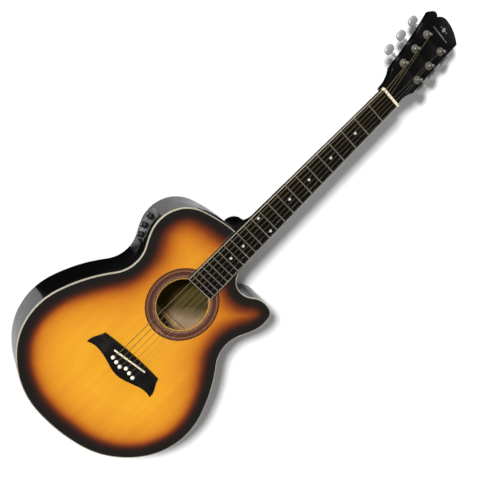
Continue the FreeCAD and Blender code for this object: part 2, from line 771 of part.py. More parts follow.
def make_fret(number):
    """One fret: a low crown right across the board, on a tang in its slot."""
    x = fret_x(number)
    reach = half_width(x)
    wide = size("fret_width") / 2
    crown = Part.Wire([arc((x - wide, -reach, FRETBOARD_TOP), (x, -reach, FRET_TOP),
                           (x + wide, -reach, FRETBOARD_TOP)),
                       line((x + wide, -reach, FRETBOARD_TOP), (x - wide, -reach, FRETBOARD_TOP))])
    bar = Part.Face(crown).extrude(Vector(0, 2 * reach, 0))
    tang_reach = reach - size("edge_strip") - 0.8
    tang = block(x - FRET_TANG[0] / 2, x + FRET_TANG[0] / 2, -tang_reach, tang_reach,
                 FRETBOARD_TOP - FRET_TANG[1], FRETBOARD_TOP + 0.2)
    return one_solid(bar.fuse(tang))


feature("fingerboard", make_fingerboard())
feature("fingerboard_binding", one_solid(edge_strips))
feature("frets", Part.makeCompound([make_fret(number) for number in range(1, FRET_COUNT + 1)]))
feature("position_dots", Part.makeCompound(dot_cylinders(size("dot_radius"))))


def make_nut():
    """String nut with a rounded back edge and one slot for each string."""
    wide = size("nut_width") / 2
    nut = block(SCALE, NUT_BACK, -wide, wide, TOP, TOP + size("nut_height"))
    nut = nut.makeFillet(1.6, [edge for edge in nut.Edges
                               if abs(edge.CenterOfMass.x - NUT_BACK) < 0.01
                               and abs(edge.CenterOfMass.z - TOP - size("nut_height")) < 0.01])
    cuts = []
    for number in range(1, STRING_COUNT + 1):
        radius = STRING_DIAMETERS[number - 1] / 2 + 0.04
        y = string_y(number, size("string_spread_nut"))
        cuts.append(block(SCALE - 1, NUT_BACK + 1, y - radius, y + radius,
                          NUT_SLOT - 0.04, TOP + size("nut_height") + 1))
    return one_solid(nut.cut(cuts))


def nut_relief():
    """Wedge removed from the back of the nut so that the strings can fall to the headstock."""
    return Part.Face(polygon([Vector(SCALE + 2.0, -30, NUT_SLOT), Vector(NUT_BACK + 2, -30, NUT_SLOT),
                              Vector(NUT_BACK + 2, -30, NUT_SLOT - 1.4)])).extrude(Vector(0, 60, 0))


def nut_slots_back():
    """Slot floors that fall away behind the string's bearing point."""
    cuts = []
    for number in range(1, STRING_COUNT + 1):
        radius = STRING_DIAMETERS[number - 1] / 2 + 0.04
        y = string_y(number, size("string_spread_nut"))
        cuts.append(nut_relief().common(block(SCALE, NUT_BACK + 3, y - radius - 0.25, y + radius + 0.25,
                                              TOP, TOP + 20)))
    return cuts


feature("nut", one_solid(make_nut().cut(nut_slots_back())))

# ---------------------------------------------------------------------------------------------
# Bridge, saddle and pins
# ---------------------------------------------------------------------------------------------
SADDLE_ANGLE = math.degrees(math.atan(SADDLE_SLOPE))


def saddle_box(grow, low, high):
    """The saddle's slanting block, grown sideways for its slot."""
    long = size("saddle_length") + 2 * grow
    wide = size("saddle_width") + 2 * grow
    bar = block(-wide / 2, wide / 2, -long / 2, long / 2, low, high)
    bar.rotate(Vector(), UP, -SADDLE_ANGLE)
    bar.translate(Vector(SADDLE_X, 0, 0))
    return bar


def make_bridge():
    """Lopsided winged bridge with scooped wings, saddle slot and pin holes."""
    front = arc((5.2, 68.0, 0), (7.9, 0, 0), (4.6, -67.2, 0))
    treble_tip = curve([(4.6, -67.2, 0), (-8.5, -73.2, 0), (-22.0, -80.4, 0), (-30.4, -80.6, 0)])
    tail = curve([(-30.4, -80.6, 0), (-27.8, -60, 0), (-30.0, -43.5, 0), (-35.2, -23, 0), (-38.0, -2, 0),
                  (-33.4, 20.5, 0), (-26.2, 43, 0), (-23.6, 63, 0), (-28.0, 80.4, 0)])
    bass_tip = curve([(-28.0, 80.4, 0), (-20.5, 80.0, 0), (-6.0, 73.0, 0), (5.2, 68.0, 0)])
    base = prism(Part.Wire([front, treble_tip, tail, bass_tip]), TOP, BRIDGE_TOP)
    wing = TOP + size("bridge_wing")
    cuts = [saddle_box(0.0, BRIDGE_TOP - size("saddle_depth"), BRIDGE_TOP + 1)]
    for hand in (1, -1):
        scoop = Part.Wire([curve([(-60, hand * 43, BRIDGE_TOP), (-60, hand * 50, BRIDGE_TOP - 1.6),
                                  (-60, hand * 60, wing + 0.7), (-60, hand * 90, wing - 0.9)]),
                           line((-60, hand * 90, wing - 0.9), (-60, hand * 90, BRIDGE_TOP + 5)),
                           line((-60, hand * 90, BRIDGE_TOP + 5), (-60, hand * 43, BRIDGE_TOP + 5)),
                           line((-60, hand * 43, BRIDGE_TOP + 5), (-60, hand * 43, BRIDGE_TOP))])
        cuts.append(Part.Face(scoop).extrude(Vector(100, 0, 0)))
    cuts.extend(pin_holes(TOP, BRIDGE_TOP))
    return one_solid(base.cut(cuts))


feature("bridge", make_bridge())
saddle_bar = saddle_box(0.0, BRIDGE_TOP - size("saddle_depth") + 0.8, SADDLE_TOP)
feature("saddle", saddle_bar)
pickup = saddle_box(-0.1, BRIDGE_TOP - size("saddle_depth"), BRIDGE_TOP - size("saddle_depth") + 0.8)
feature("saddle_pickup", pickup)


def make_pin(number):
    """A bridge pin: domed head on the bridge, slim stem down through the top."""
    radius = size("pin_radius")
    head = Part.makeSphere(4.0, Vector(0, 0, -1.2), UP, 17.5, 90, 360)
    stem = Part.makeCylinder(radius, size("pin_length"), Vector(0, 0, -size("pin_length")))
    head_low = Part.makeCylinder(3.8, 0.35, Vector(0, 0, 0))
    pin = stem.fuse([head.common(block(-5, 5, -5, 5, 0.0, 5)), head_low])
    reach = string_hole(number) - pin_place(number)
    groove = Part.makeCylinder(STRING_DIAMETERS[number - 1] / 2 + 0.08, 6, reach - Vector(0, 0, 1))
    half = STRING_DIAMETERS[number - 1] / 2 + 0.08
    ball_base = reach + Vector(0, 0, BALL_TOP + 0.1 - BRIDGE_TOP - 20)
    ball_room = Part.makeCylinder(BALL_RADIUS + 0.15, 20, ball_base)
    pin = pin.cut([groove, block(reach.x, 6, -half, half, -0.5, 3.5), ball_room])
    pin.translate(pin_place(number) + Vector(0, 0, BRIDGE_TOP))
    return one_solid(pin)


feature("bridge_pins", Part.makeCompound([make_pin(number) for number in range(1, STRING_COUNT + 1)]))

# ---------------------------------------------------------------------------------------------
# Tuning machines, drawn in the headstock's frame
# ---------------------------------------------------------------------------------------------
GAP = size("running_gap")
POST = size("post_radius")
WAIST_RADIUS = 2.3
WORM_LEVEL = HEAD_BACK - size("worm_depth")
HOUSING_DEPTH = 11.0
COIL_LEVEL = 6.4


def hex_prism(across, low, high):
    """A hexagonal nut blank."""
    corner = across / 2 / math.cos(math.radians(30))
    points = [Vector(corner * math.cos(math.radians(60 * i)), corner * math.sin(math.radians(60 * i)), 0)
              for i in range(6)]
    return prism(polygon(points), low, high)


def make_housing(along, hand):
    """Cast gear housing on the back of the headstock, open towards the wood."""
    y0 = size("post_side") - 8.6
    y1 = size("post_side") + 7.4
    shell = block(-8.4, 12.0, y0, y1, HEAD_BACK - HOUSING_DEPTH, HEAD_BACK)
    edges = [edge for edge in shell.Edges if abs(edge.CenterOfMass.z - HEAD_BACK) > 0.1]
    shell = shell.makeFillet(3.2, edges)
    ear = Part.makeCylinder(3.4, 2.2, Vector(SCREW_OFFSET, size("post_side"), HEAD_BACK - 2.2))
    ear_neck = block(SCREW_OFFSET, -4, size("post_side") - 3.4, size("post_side") + 3.4,
                     HEAD_BACK - 2.2, HEAD_BACK)
    shell = shell.fuse([ear, ear_neck])
    axis = Vector(0, size("post_side"), 0)
    cuts = [Part.makeCylinder(size("gear_radius") + 0.6, 8.6, axis + Vector(0, 0, HEAD_BACK - 8.6)),
            Part.makeCylinder(1.5 + GAP, 1.4, axis + Vector(0, 0, HEAD_BACK - 9.9)),
            Part.makeCylinder(size("worm_radius") + GAP, 30,
                              Vector(size("worm_offset"), y0 + 1.6, WORM_LEVEL), Vector(0, 1, 0)),
            Part.makeCylinder(1.35, 10, Vector(SCREW_OFFSET, size("post_side"), HEAD_BACK - 6))]
    shell = shell.cut(cuts)
    if hand < 0:
        shell = shell.mirror(Vector(), Vector(0, 1, 0))
    shell.translate(Vector(along, 0, 0))
    return one_solid(in_head_frame(shell))


def make_post(number):
    """String post with its worm wheel; one solid turning about the post's axis."""
    rise = size("post_rise")
    gear_top = HEAD_BACK - 3.0
    gear_low = HEAD_BACK - 8.2
    gear = size("gear_radius")
    profile = [(0, gear_low - 1.4), (1.5, gear_low - 1.4), (1.5, gear_low), (gear, gear_low),
               (gear, gear_top), (POST, gear_top), (POST, 5.4), (WAIST_RADIUS, 6.0),
               (WAIST_RADIUS, 11.0), (POST, 12.4), (POST, rise - 0.8), (POST - 0.8, rise), (0, rise)]
    return turned("tuner_post_%d" % number, profile)


def make_button(hand):
    """Worm shaft and paddle-shaped button; one piece turning about the shaft's axis."""
    start = size("post_side") - 6.8
    shaft_end = size("button_centre") - 6.5
    shaft = Part.makeCylinder(size("worm_radius"), shaft_end - start, Vector(0, 0, start))
    collar = Part.makeCylinder(3.1, 5.5, Vector(0, 0, shaft_end - 6.0))
    ball = Part.makeSphere(1.0)
    squash = Matrix()
    squash.scale(size("button_half_length"), size("button_half_thickness"), size("button_half_width"))
    paddle = ball.transformGeometry(squash)
    paddle.translate(Vector(0, 0, size("button_centre")))
    shape = shaft.fuse([collar, paddle])
    shape.rotate(Vector(), Vector(1, 0, 0), -90)
    if hand < 0:
        shape.rotate(Vector(), UP, 180)
    return one_solid(shape)


bushings = []
screws = []
housings = []
for number, along, hand in TUNERS:
    base = Vector(along, hand * size("post_side"), 0)
    post = make_post(number)
    place(post, HEAD_FRAME.multiply(at(base)))
    worm = Vector(along + size("worm_offset"), 0, WORM_LEVEL)
    feature("tuner_button_%d" % number, make_button(hand), HEAD_FRAME.multiply(at(worm)))
    housings.append(make_housing(along, hand))
    sleeve = tube(BUSHING_RADIUS, POST + GAP, 9.0, Vector(0, 0, -9.0))
    washer = tube(7.6, POST + GAP, 1.2)
    hexagon = hex_prism(11.0, 1.2, 3.4).cut(Part.makeCylinder(POST + GAP, 5))
    bushing = one_solid(sleeve.fuse([washer, hexagon]))
    bushing.translate(base)
    bushings.append(in_head_frame(bushing))
    screw = Part.makeCylinder(1.25, 9.5, Vector(0, 0, HEAD_BACK - 2.7))
    screw_head = Part.makeSphere(2.9, Vector(0, 0, HEAD_BACK - 0.6), UP, -90, -33.5, 360)
    screw = one_solid(screw.fuse(screw_head.common(block(-4, 4, -4, 4, HEAD_BACK - 6, HEAD_BACK - 2.2))))
    screw.translate(Vector(along + SCREW_OFFSET, hand * size("post_side"), 0))
    screws.append(in_head_frame(screw))
feature("tuner_housings", Part.makeCompound(housings))
feature("tuner_bushings", Part.makeCompound(bushings))
feature("tuner_screws", Part.makeCompound(screws))


# ---------------------------------------------------------------------------------------------
# Strings: ball end under the bridge plate, up its groove, over the saddle and the nut to the post
# ---------------------------------------------------------------------------------------------
def bent_wire(points, radii):
    """Straight runs through the points, joined by tangent arcs of the given radii."""
    edges = []
    start = points[0]
    for i, radius in enumerate(radii, start=1):
        into = (points[i] - points[i - 1]).normalize()
        out = (points[i + 1] - points[i]).normalize()
        half_turn = into.getAngle(out) / 2
        reach = radius * math.tan(half_turn)
        first = points[i] - into * reach
        last = points[i] + out * reach
        inward = (out - into).normalize()
        middle = points[i] + inward * radius * (1 / math.cos(half_turn) - 1)
        edges.append(Part.makeLine(start, first))
        edges.append(Part.Arc(first, middle, last).toShape())
        start = last
    edges.append(Part.makeLine(start, points[-1]))
    return Part.Wire(edges)


def make_string(number, along, hand):
    """A round wire of straight runs with small bends, on its brass ball."""
    radius = STRING_DIAMETERS[number - 1] / 2
    hole = string_hole(number)
    saddle_y = string_y(number, size("string_spread_saddle"))
    saddle_x = SADDLE_X + SADDLE_SLOPE * saddle_y
    saddle = Vector(saddle_x - size("saddle_width") / 2, saddle_y, SADDLE_TOP + radius + 0.14)
    nut = Vector(SCALE + 2.0, string_y(number, size("string_spread_nut")), NUT_SLOT + radius + 0.07)
    beside_post = hand * (size("post_side") - WAIST_RADIUS - radius - 0.35)
    end = head_place(along, beside_post, COIL_LEVEL + radius + 0.4)
    bottom = Vector(hole.x, hole.y, BALL_TOP - 1.0)
    bend = Vector(hole.x, hole.y, BRIDGE_TOP + radius + 0.3)
    path = bent_wire([bottom, bend, saddle, nut, end], [1.6, 4.0, 10.0])
    ring = Part.Wire(Part.makeCircle(radius, bottom, UP))
    wire = path.makePipeShell([ring], True, False)
    ball = Part.makeCylinder(BALL_RADIUS, BALL_LENGTH, Vector(hole.x, hole.y, BALL_TOP - BALL_LENGTH))
    return one_solid(wire.fuse(ball))


for number, along, hand in TUNERS:
    feature("string_%d" % number, make_string(number, along, hand))

# ---------------------------------------------------------------------------------------------
# Preamp: curved panel on the side, housing behind it, knobs, button and battery drawer
# ---------------------------------------------------------------------------------------------
panel_slab = wedge_between(size("panel_start"), size("panel_end"), size("panel_low"), size("panel_high"),
                           0.05, size("panel_thickness"))
panel_openings = side_openings(SHAFT_RADIUS + SHAFT_GAP, BUTTON_RADIUS + BUTTON_GAP, DRAWER_GAP)
feature("preamp_panel", one_solid(panel_slab.cut(panel_openings)))


def make_preamp_housing():
    """Open-fronted box on the inside of the rim; it carries the pots and the battery bay."""
    wall = 1.8
    low = size("panel_low") + 1.5
    high = HOUSING_TOP
    start = size("panel_start") + 1.0
    end = size("panel_end") - 4.0
    shell = wedge_between(start, end, low, high, -SIDE - 26.0, -SIDE - 0.1)
    hollow = wedge_between(start + wall, end - wall, low + wall, high - wall,
                           -SIDE - 26.0 + wall, -SIDE + 1)
    bay_wide = size("drawer_width") + 0.8
    bay_tall = size("drawer_height") + 0.8
    deep = size("drawer_depth") + 1.0
    bay_out = Part.makeBox(bay_wide + 2 * wall, bay_tall + 2 * wall, deep + wall - SIDE,
                           Vector(-bay_wide / 2 - wall, -bay_tall / 2 - wall, -deep - wall))
    bay_in = Part.makeBox(bay_wide, bay_tall, deep + 20, Vector(-bay_wide / 2, -bay_tall / 2, -deep))
    bay_out = at_side(bay_out, DRAWER_DISTANCE, PANEL_MID).common(cavity)
    shell = shell.cut(hollow).fuse(bay_out)
    shell = shell.cut(at_side(bay_in, DRAWER_DISTANCE, PANEL_MID))
    return max(shell.removeSplitter().Solids, key=lambda solid: solid.Volume)


feature("preamp_housing", make_preamp_housing())

for label, distance in KNOB_PLACES.items():
    radius = size("knob_radius")
    tall = size("knob_height")
    knob = turned(label, [(0, -SIDE - 9.0), (SHAFT_RADIUS, -SIDE - 9.0), (SHAFT_RADIUS, 0.45),
                          (radius + 0.8, 0.45), (radius + 0.8, 1.6), (radius, 2.2),
                          (radius - 0.3, tall - 0.8), (radius - 1.2, tall), (0, tall)])
    place(knob, outward(distance, KNOB_LEVEL, size("panel_thickness")))

check_button = turned("check_button", [(0, -SIDE - 5.0), (BUTTON_RADIUS, -SIDE - 5.0),
                                       (BUTTON_RADIUS, 1.8), (BUTTON_RADIUS - 0.6, 2.6), (0, 2.6)])
place(check_button, outward(BUTTON_DISTANCE, BUTTON_LEVEL, size("panel_thickness")))


def make_drawer():
    """Battery drawer: raised front with a finger pull, and a tray that runs in the bay."""
    wide = size("drawer_width")
    tall = size("drawer_height")
    deep = size("drawer_depth")
    front_low = size("panel_thickness") + 2.6
    front = Part.makeBox(wide + 2.4, tall + 6.0, 4.2,
                         Vector(-wide / 2 - 1.2, -tall / 2 - 3.0, front_low))
    front = front.makeFillet(1.2, [edge for edge in front.Edges
                                   if edge.CenterOfMass.z > front_low + 0.5])
    pull_base = Vector(-wide / 2, -tall / 2 - 3.0, front_low + 4.2)
    pull = Part.makeCylinder(4.0, wide, pull_base, Vector(1, 0, 0))
    tray = Part.makeBox(wide, tall, deep + front_low - 1.0, Vector(-wide / 2, -tall / 2, -deep + 1.0))
    bay = Part.makeBox(wide - 0.8 + 2, tall - 2.4, 49.4,
                       Vector(-wide / 2 + 0.8, -tall / 2 + 1.2, -deep + 1.5))
    return one_solid(front.fuse(tray).cut([bay, pull]))


feature("battery_drawer", make_drawer(), outward(DRAWER_DISTANCE, PANEL_MID))

battery = padded_rectangle("battery", "16.8", "25.8", "48.0")
in_tray = at(Vector(0.5, 0, -size("drawer_depth") + 2.0))
place(battery, outward(DRAWER_DISTANCE, PANEL_MID).multiply(in_tray))

# ---------------------------------------------------------------------------------------------
# End-pin jack in the tail block; it is also the rear strap button
# ---------------------------------------------------------------------------------------------
bore = size("jack_bore")
jack = turned("endpin_jack", [(bore, -size("jack_length")), (5.9, -size("jack_length")), (5.9, 0),
                              (8.2, 0.0), (8.2, 1.4), (5.6, 2.4), (5.6, 6.2), (7.4, 7.0),
                              (7.4, JACK_FLANGE), (bore, JACK_FLANGE)])
place(jack, Placement(Vector(size("tail_x"), 0, TOP / 2), Rotation(Vector(0, 1, 0), -90)))

# ---------------------------------------------------------------------------------------------
# Checks and export
# ---------------------------------------------------------------------------------------------
doc.recompute()
for item in doc.Objects:
    for word in ("Invalid", "Error"):
        if word in item.State:
            raise RuntimeError("%s is %s" % (item.Name, item.State))
for item in SUBPARTS:
    shape = item.Shape
    if shape.isNull() or not shape.isValid() or not shape.Solids:
        raise RuntimeError("%s has no valid solid" % item.Label)
labels = [item.Label for item in SUBPARTS]
if len(set(labels)) != len(labels):
    raise RuntimeError("two sub-parts share a name")
for item in SUBPARTS:
    item.Shape.exportStep("parts/%s.step" % item.Label)
    box = item.Shape.BoundBox
    print("%-22s solids %2d  volume %10.1f  x %7.1f %7.1f  y %7.1f %7.1f  z %6.1f %6.1f" % (
        item.Label, len(item.Shape.Solids), item.Shape.Volume, box.XMin, box.XMax, box.YMin, box.YMax,
        box.ZMin, box.ZMax))
print("%d sub-parts" % len(SUBPARTS))
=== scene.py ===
import json
import math

import bmesh
import bpy
import numpy as np
from mathutils import Matrix, Vector
from mathutils.geometry import delaunay_2d_cdt

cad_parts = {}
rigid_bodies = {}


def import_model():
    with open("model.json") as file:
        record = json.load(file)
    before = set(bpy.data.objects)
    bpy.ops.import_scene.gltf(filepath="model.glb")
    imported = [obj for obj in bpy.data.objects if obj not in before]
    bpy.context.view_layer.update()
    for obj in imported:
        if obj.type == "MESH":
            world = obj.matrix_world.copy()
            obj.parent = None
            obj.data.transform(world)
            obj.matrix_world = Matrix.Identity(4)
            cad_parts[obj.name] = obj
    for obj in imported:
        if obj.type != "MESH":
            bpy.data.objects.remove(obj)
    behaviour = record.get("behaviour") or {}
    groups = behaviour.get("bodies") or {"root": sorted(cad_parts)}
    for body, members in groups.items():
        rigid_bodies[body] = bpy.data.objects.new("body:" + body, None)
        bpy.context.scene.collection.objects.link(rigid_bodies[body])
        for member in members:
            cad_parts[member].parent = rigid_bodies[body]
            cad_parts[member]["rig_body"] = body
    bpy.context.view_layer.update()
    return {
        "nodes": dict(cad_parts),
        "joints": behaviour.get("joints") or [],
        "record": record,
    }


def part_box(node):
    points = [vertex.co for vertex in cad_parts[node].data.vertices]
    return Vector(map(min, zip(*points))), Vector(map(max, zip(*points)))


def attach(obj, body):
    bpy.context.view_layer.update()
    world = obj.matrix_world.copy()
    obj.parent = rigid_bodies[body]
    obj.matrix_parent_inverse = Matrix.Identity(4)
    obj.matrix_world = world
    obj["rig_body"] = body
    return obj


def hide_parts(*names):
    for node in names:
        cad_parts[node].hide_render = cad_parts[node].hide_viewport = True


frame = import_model()
NODES = frame["nodes"]
SLOTS = {part["node"]: part["material_slot"] for part in frame["record"]["subparts"]}
JOINTS = {joint["name"]: joint for joint in frame["joints"]}
MM = 0.001
UP = Vector((0, 0, 1))
STRINGS = {1: 0.30 * MM, 2: 0.41 * MM, 3: 0.61 * MM, 4: 0.81 * MM, 5: 1.07 * MM, 6: 1.35 * MM}
BINDING_WIDTH = 1.7 * MM
BINDING_DEPTH = 3 * MM
DARK_EDGE = 22 * MM
POST_RADIUS = 2.3 * MM
COIL_START = 6.8 * MM


# ---------------------------------------------------------------- materials

def colour(red, green, blue):
    """A colour given in display units of 0 to 255, as the linear values a shader takes."""
    def linear(value):
        value /= 255
        return value / 12.92 if value <= 0.04045 else ((value + 0.055) / 1.055) ** 2.4
    return (linear(red), linear(green), linear(blue), 1)


class Finish:
    """A material being built: its shader, and short ways to add the nodes that feed it."""

    def __init__(self, name, **sockets):
        self.material = bpy.data.materials.new(name)
        self.material.use_nodes = True
        self.tree = self.material.node_tree
        self.shader = self.tree.nodes["Principled BSDF"]
        for label, value in sockets.items():
            self.socket(label).default_value = value

    def socket(self, label):
        return self.shader.inputs[label.replace("_", " ")]

    def feed(self, label, output):
        self.tree.links.new(output, self.socket(label))

    def add(self, kind, links=(), values=(), **settings):
        """A node of a kind, with sockets linked or set by number or name, and its first output."""
        node = self.tree.nodes.new("ShaderNode" + kind)
        for name, value in settings.items():
            setattr(node, name, value)
        for key, value in dict(values).items():
            node.inputs[key].default_value = value
        for key, output in dict(links).items():
            self.tree.links.new(output, node.inputs[key])
        return node.outputs[0]

    def place(self, scale=(1, 1, 1), offset=(0, 0, 0)):
        """Rest position, moved and then stretched."""
        where = self.add("TexCoord").node.outputs["Object"]
        moved = self.add("VectorMath", {0: where}, {1: offset}, operation="ADD")
        return self.add("VectorMath", {0: moved}, {1: scale}, operation="MULTIPLY")

    def noise(self, vector, scale=1.0, detail=3.0, roughness=0.55):
        return self.add("TexNoise", {"Vector": vector},
                        {"Scale": scale, "Detail": detail, "Roughness": roughness})

    def maths(self, operation, first, second=0.0):
        links, values = {}, {}
        for key, value in enumerate((first, second)):
            if isinstance(value, (int, float)):
                values[key] = value
            else:
                links[key] = value
        return self.add("Math", links, values, operation=operation)

    def spread(self, value, low, high, to_low=0.0, to_high=1.0):
        """A value between low and high, spread over another range and held within it."""
        return self.add("MapRange", {"Value": value}, {
            "From Min": low, "From Max": high, "To Min": to_low, "To Max": to_high})

    def ramp(self, factor, stops, interpolation="LINEAR"):
        output = self.add("ValToRGB", {"Fac": factor})
        band = output.node.color_ramp
        band.interpolation = interpolation
        band.elements.remove(band.elements[1])
        first, *others = stops
        band.elements[0].position, band.elements[0].color = first
        for position, tint in others:
            band.elements.new(position).color = tint
        return output

    def blend(self, factor, first, second, mode="MIX"):
        """Two colours mixed by a factor. Each is an output or a plain colour."""
        output = self.add("Mix", data_type="RGBA", blend_type=mode)
        node = output.node
        wanted = ((node.inputs["Factor"], factor), (node.inputs[6], first), (node.inputs[7], second))
        for socket, value in wanted:
            if isinstance(value, (int, float, tuple)):
                socket.default_value = value
            else:
                self.tree.links.new(value, socket)
        return node.outputs[2]

    def bump(self, height, strength, distance, coat=False):
        normal = self.add("Bump", {"Height": height}, {"Strength": strength, "Distance": distance})
        self.feed("Normal", normal)
        if coat:
            self.feed("Coat_Normal", normal)
        return normal


def smudged(finish, low, high, scale=35):
    """Roughness that drifts over a polished surface, as handling and polishing leave it."""
    drift = finish.noise(finish.place(), scale, 4)
    finish.feed("Roughness", finish.spread(drift, 0.35, 0.7, low, high))


def gloss_black():
    """Thick black lacquer, polished, with the faint ripple such a coat has."""
    finish = Finish("gloss_black", Base_Color=colour(8, 8, 9), Specular_IOR_Level=0.1,
                    Coat_Weight=0.34, Coat_Roughness=0.02, Coat_IOR=1.5)
    smudged(finish, 0.3, 0.4)
    ripple = finish.noise(finish.place(), 22, 2)
    finish.bump(ripple, 0.05, 0.002, coat=True)
    return finish.material


BURST_REACH = 0.12
BURST = (
    (0.000, (27, 25, 24)), (0.011, (28, 25, 24)), (0.0155, (38, 27, 23)), (0.019, (58, 30, 23)),
    (0.0225, (88, 40, 23)), (0.026, (124, 58, 24)), (0.030, (166, 86, 26)), (0.035, (194, 112, 29)),
    (0.042, (212, 133, 34)), (0.052, (222, 147, 38)), (0.070, (231, 158, 41)), (0.100, (236, 167, 42)),
)


def sunburst():
    """Spruce under amber lacquer that is shaded through orange and red-brown to black at the edge."""
    finish = Finish("sunburst_spruce", Specular_IOR_Level=0.15, Coat_Weight=1.0, Coat_Roughness=0.025,
                    Coat_IOR=1.5)
    depth = finish.add("Attribute", attribute_name="edge_distance").node.outputs["Fac"]
    drift = finish.spread(finish.noise(finish.place(), 14, 2), 0.3, 0.7, -0.0012, 0.0012)
    reach = finish.maths("DIVIDE", finish.maths("ADD", depth, drift), BURST_REACH)
    shade = finish.ramp(reach, [(at / BURST_REACH, colour(*tint)) for at, tint in BURST])
    halves = finish.add("VectorMath", {0: finish.place((5, 620, 5))}, operation="ABSOLUTE")
    grain = finish.spread(finish.noise(halves, 1, 3), 0.38, 0.62)
    figure = finish.spread(finish.noise(finish.place((9, 60, 9)), 1, 3), 0.3, 0.7)
    lines = finish.blend(grain, colour(242, 235, 222), (1, 1, 1, 1))
    lined = finish.blend(0.35, shade, lines, "MULTIPLY")
    clouds = finish.blend(figure, colour(244, 238, 228), (1, 1, 1, 1))
    finish.feed("Base_Color", finish.blend(0.8, lined, clouds, "MULTIPLY"))
    smudged(finish, 0.28, 0.36)
    ripple = finish.noise(finish.place(), 25, 2)
    finish.bump(ripple, 0.03, 0.002, coat=True)
    return finish.material


def cream_plastic():
    """Aged cream binding, dull rather than glossy."""
    finish = Finish("cream_binding", Specular_IOR_Level=0.3, Coat_Weight=0.15, Coat_Roughness=0.2)
    streaks = finish.spread(finish.noise(finish.place(), 160, 4), 0.3, 0.7)
    finish.feed("Base_Color", finish.blend(streaks, colour(158, 152, 132), colour(172, 167, 148)))
    smudged(finish, 0.45, 0.55)
    return finish.material


def brace_wood():
    """Unfinished spruce, its open grain running along the neck."""
    finish = Finish("spruce_brace")
    light, dark = colour(196, 160, 112), colour(150, 112, 72)
    grain = finish.spread(finish.noise(finish.place((6, 220, 220)), 1, 5, 0.65), 0.32, 0.68)
    cloud = finish.spread(finish.noise(finish.place(), 18, 3), 0.3, 0.7)
    tone = finish.blend(grain, dark, light)
    finish.feed("Base_Color", finish.blend(finish.spread(cloud, 0, 1, 0, 0.35), tone, dark))
    finish.feed("Roughness", finish.spread(grain, 0, 1, 0.82, 0.7))
    finish.bump(grain, 0.35, 0.0002)
    return finish.material


def wood_with_painted_shade(hole):
    """The bare wood inside, with painted shade that turns it dark olive-brown towards the neck side of the
    sound hole.
    """
    finish = Finish("wood_inside", Specular_IOR_Level=0.2)
    grain = finish.spread(finish.noise(finish.place((6, 180, 180)), 1, 4, 0.6), 0.3, 0.7)
    parts = finish.add("SeparateXYZ", {"Vector": finish.place()}).node.outputs
    slanted = finish.maths("ADD", parts["X"], finish.maths("MULTIPLY", parts["Y"], 0.6))
    waver = finish.spread(finish.noise(finish.place(), 16, 2), 0.3, 0.7, -0.008, 0.008)
    # Painted shade: past a slanted, wavering line towards the neck side, the wood colour turns dark
    # olive-brown.
    painted_shade = finish.spread(finish.maths("ADD", slanted, waver), hole - 0.060, hole - 0.032)
    bare_tint = finish.blend(grain, colour(146, 122, 94), colour(166, 142, 112))
    painted_shade_tint = finish.blend(grain, colour(58, 46, 19), colour(88, 74, 28))
    finish.feed("Base_Color", finish.blend(painted_shade, bare_tint, painted_shade_tint))
    finish.feed("Roughness", finish.spread(grain, 0, 1, 0.85, 0.7))
    finish.bump(grain, 0.3, 0.0002)
    return finish.material


def fingerboard_wood():
    """Oiled near-black rosewood, with brown streaks and open pores along the neck."""
    finish = Finish("fingerboard_wood", Specular_IOR_Level=0.12)
    streak = finish.spread(finish.noise(finish.place((7, 160, 160)), 1, 4, 0.6), 0.38, 0.72)
    pores = finish.spread(finish.noise(finish.place((60, 1500, 1500)), 1, 2), 0.6, 0.68)
    tone = finish.blend(streak, colour(8, 6, 6), colour(20, 15, 13))
    finish.feed("Base_Color", finish.blend(pores, tone, colour(9, 7, 7)))
    finish.feed("Roughness", finish.spread(pores, 0, 1, 0.42, 0.7))
    finish.bump(finish.maths("SUBTRACT", 1.0, pores), 0.5, 0.0002)
    return finish.material


def bridge_wood():
    """Black-dyed wood, rubbed to a satin."""
    finish = Finish("bridge_wood", Specular_IOR_Level=0.2)
    streak = finish.spread(finish.noise(finish.place((160, 8, 160)), 1, 4, 0.6), 0.35, 0.7)
    pores = finish.spread(finish.noise(finish.place((1300, 55, 1300)), 1, 2), 0.6, 0.68)
    tone = finish.blend(streak, colour(14, 13, 13), colour(24, 22, 21))
    finish.feed("Base_Color", finish.blend(pores, tone, colour(10, 9, 9)))
    finish.feed("Roughness", finish.spread(streak, 0, 1, 0.34, 0.46))
    finish.bump(finish.maths("SUBTRACT", 1.0, pores), 0.4, 0.0002)
    return finish.material


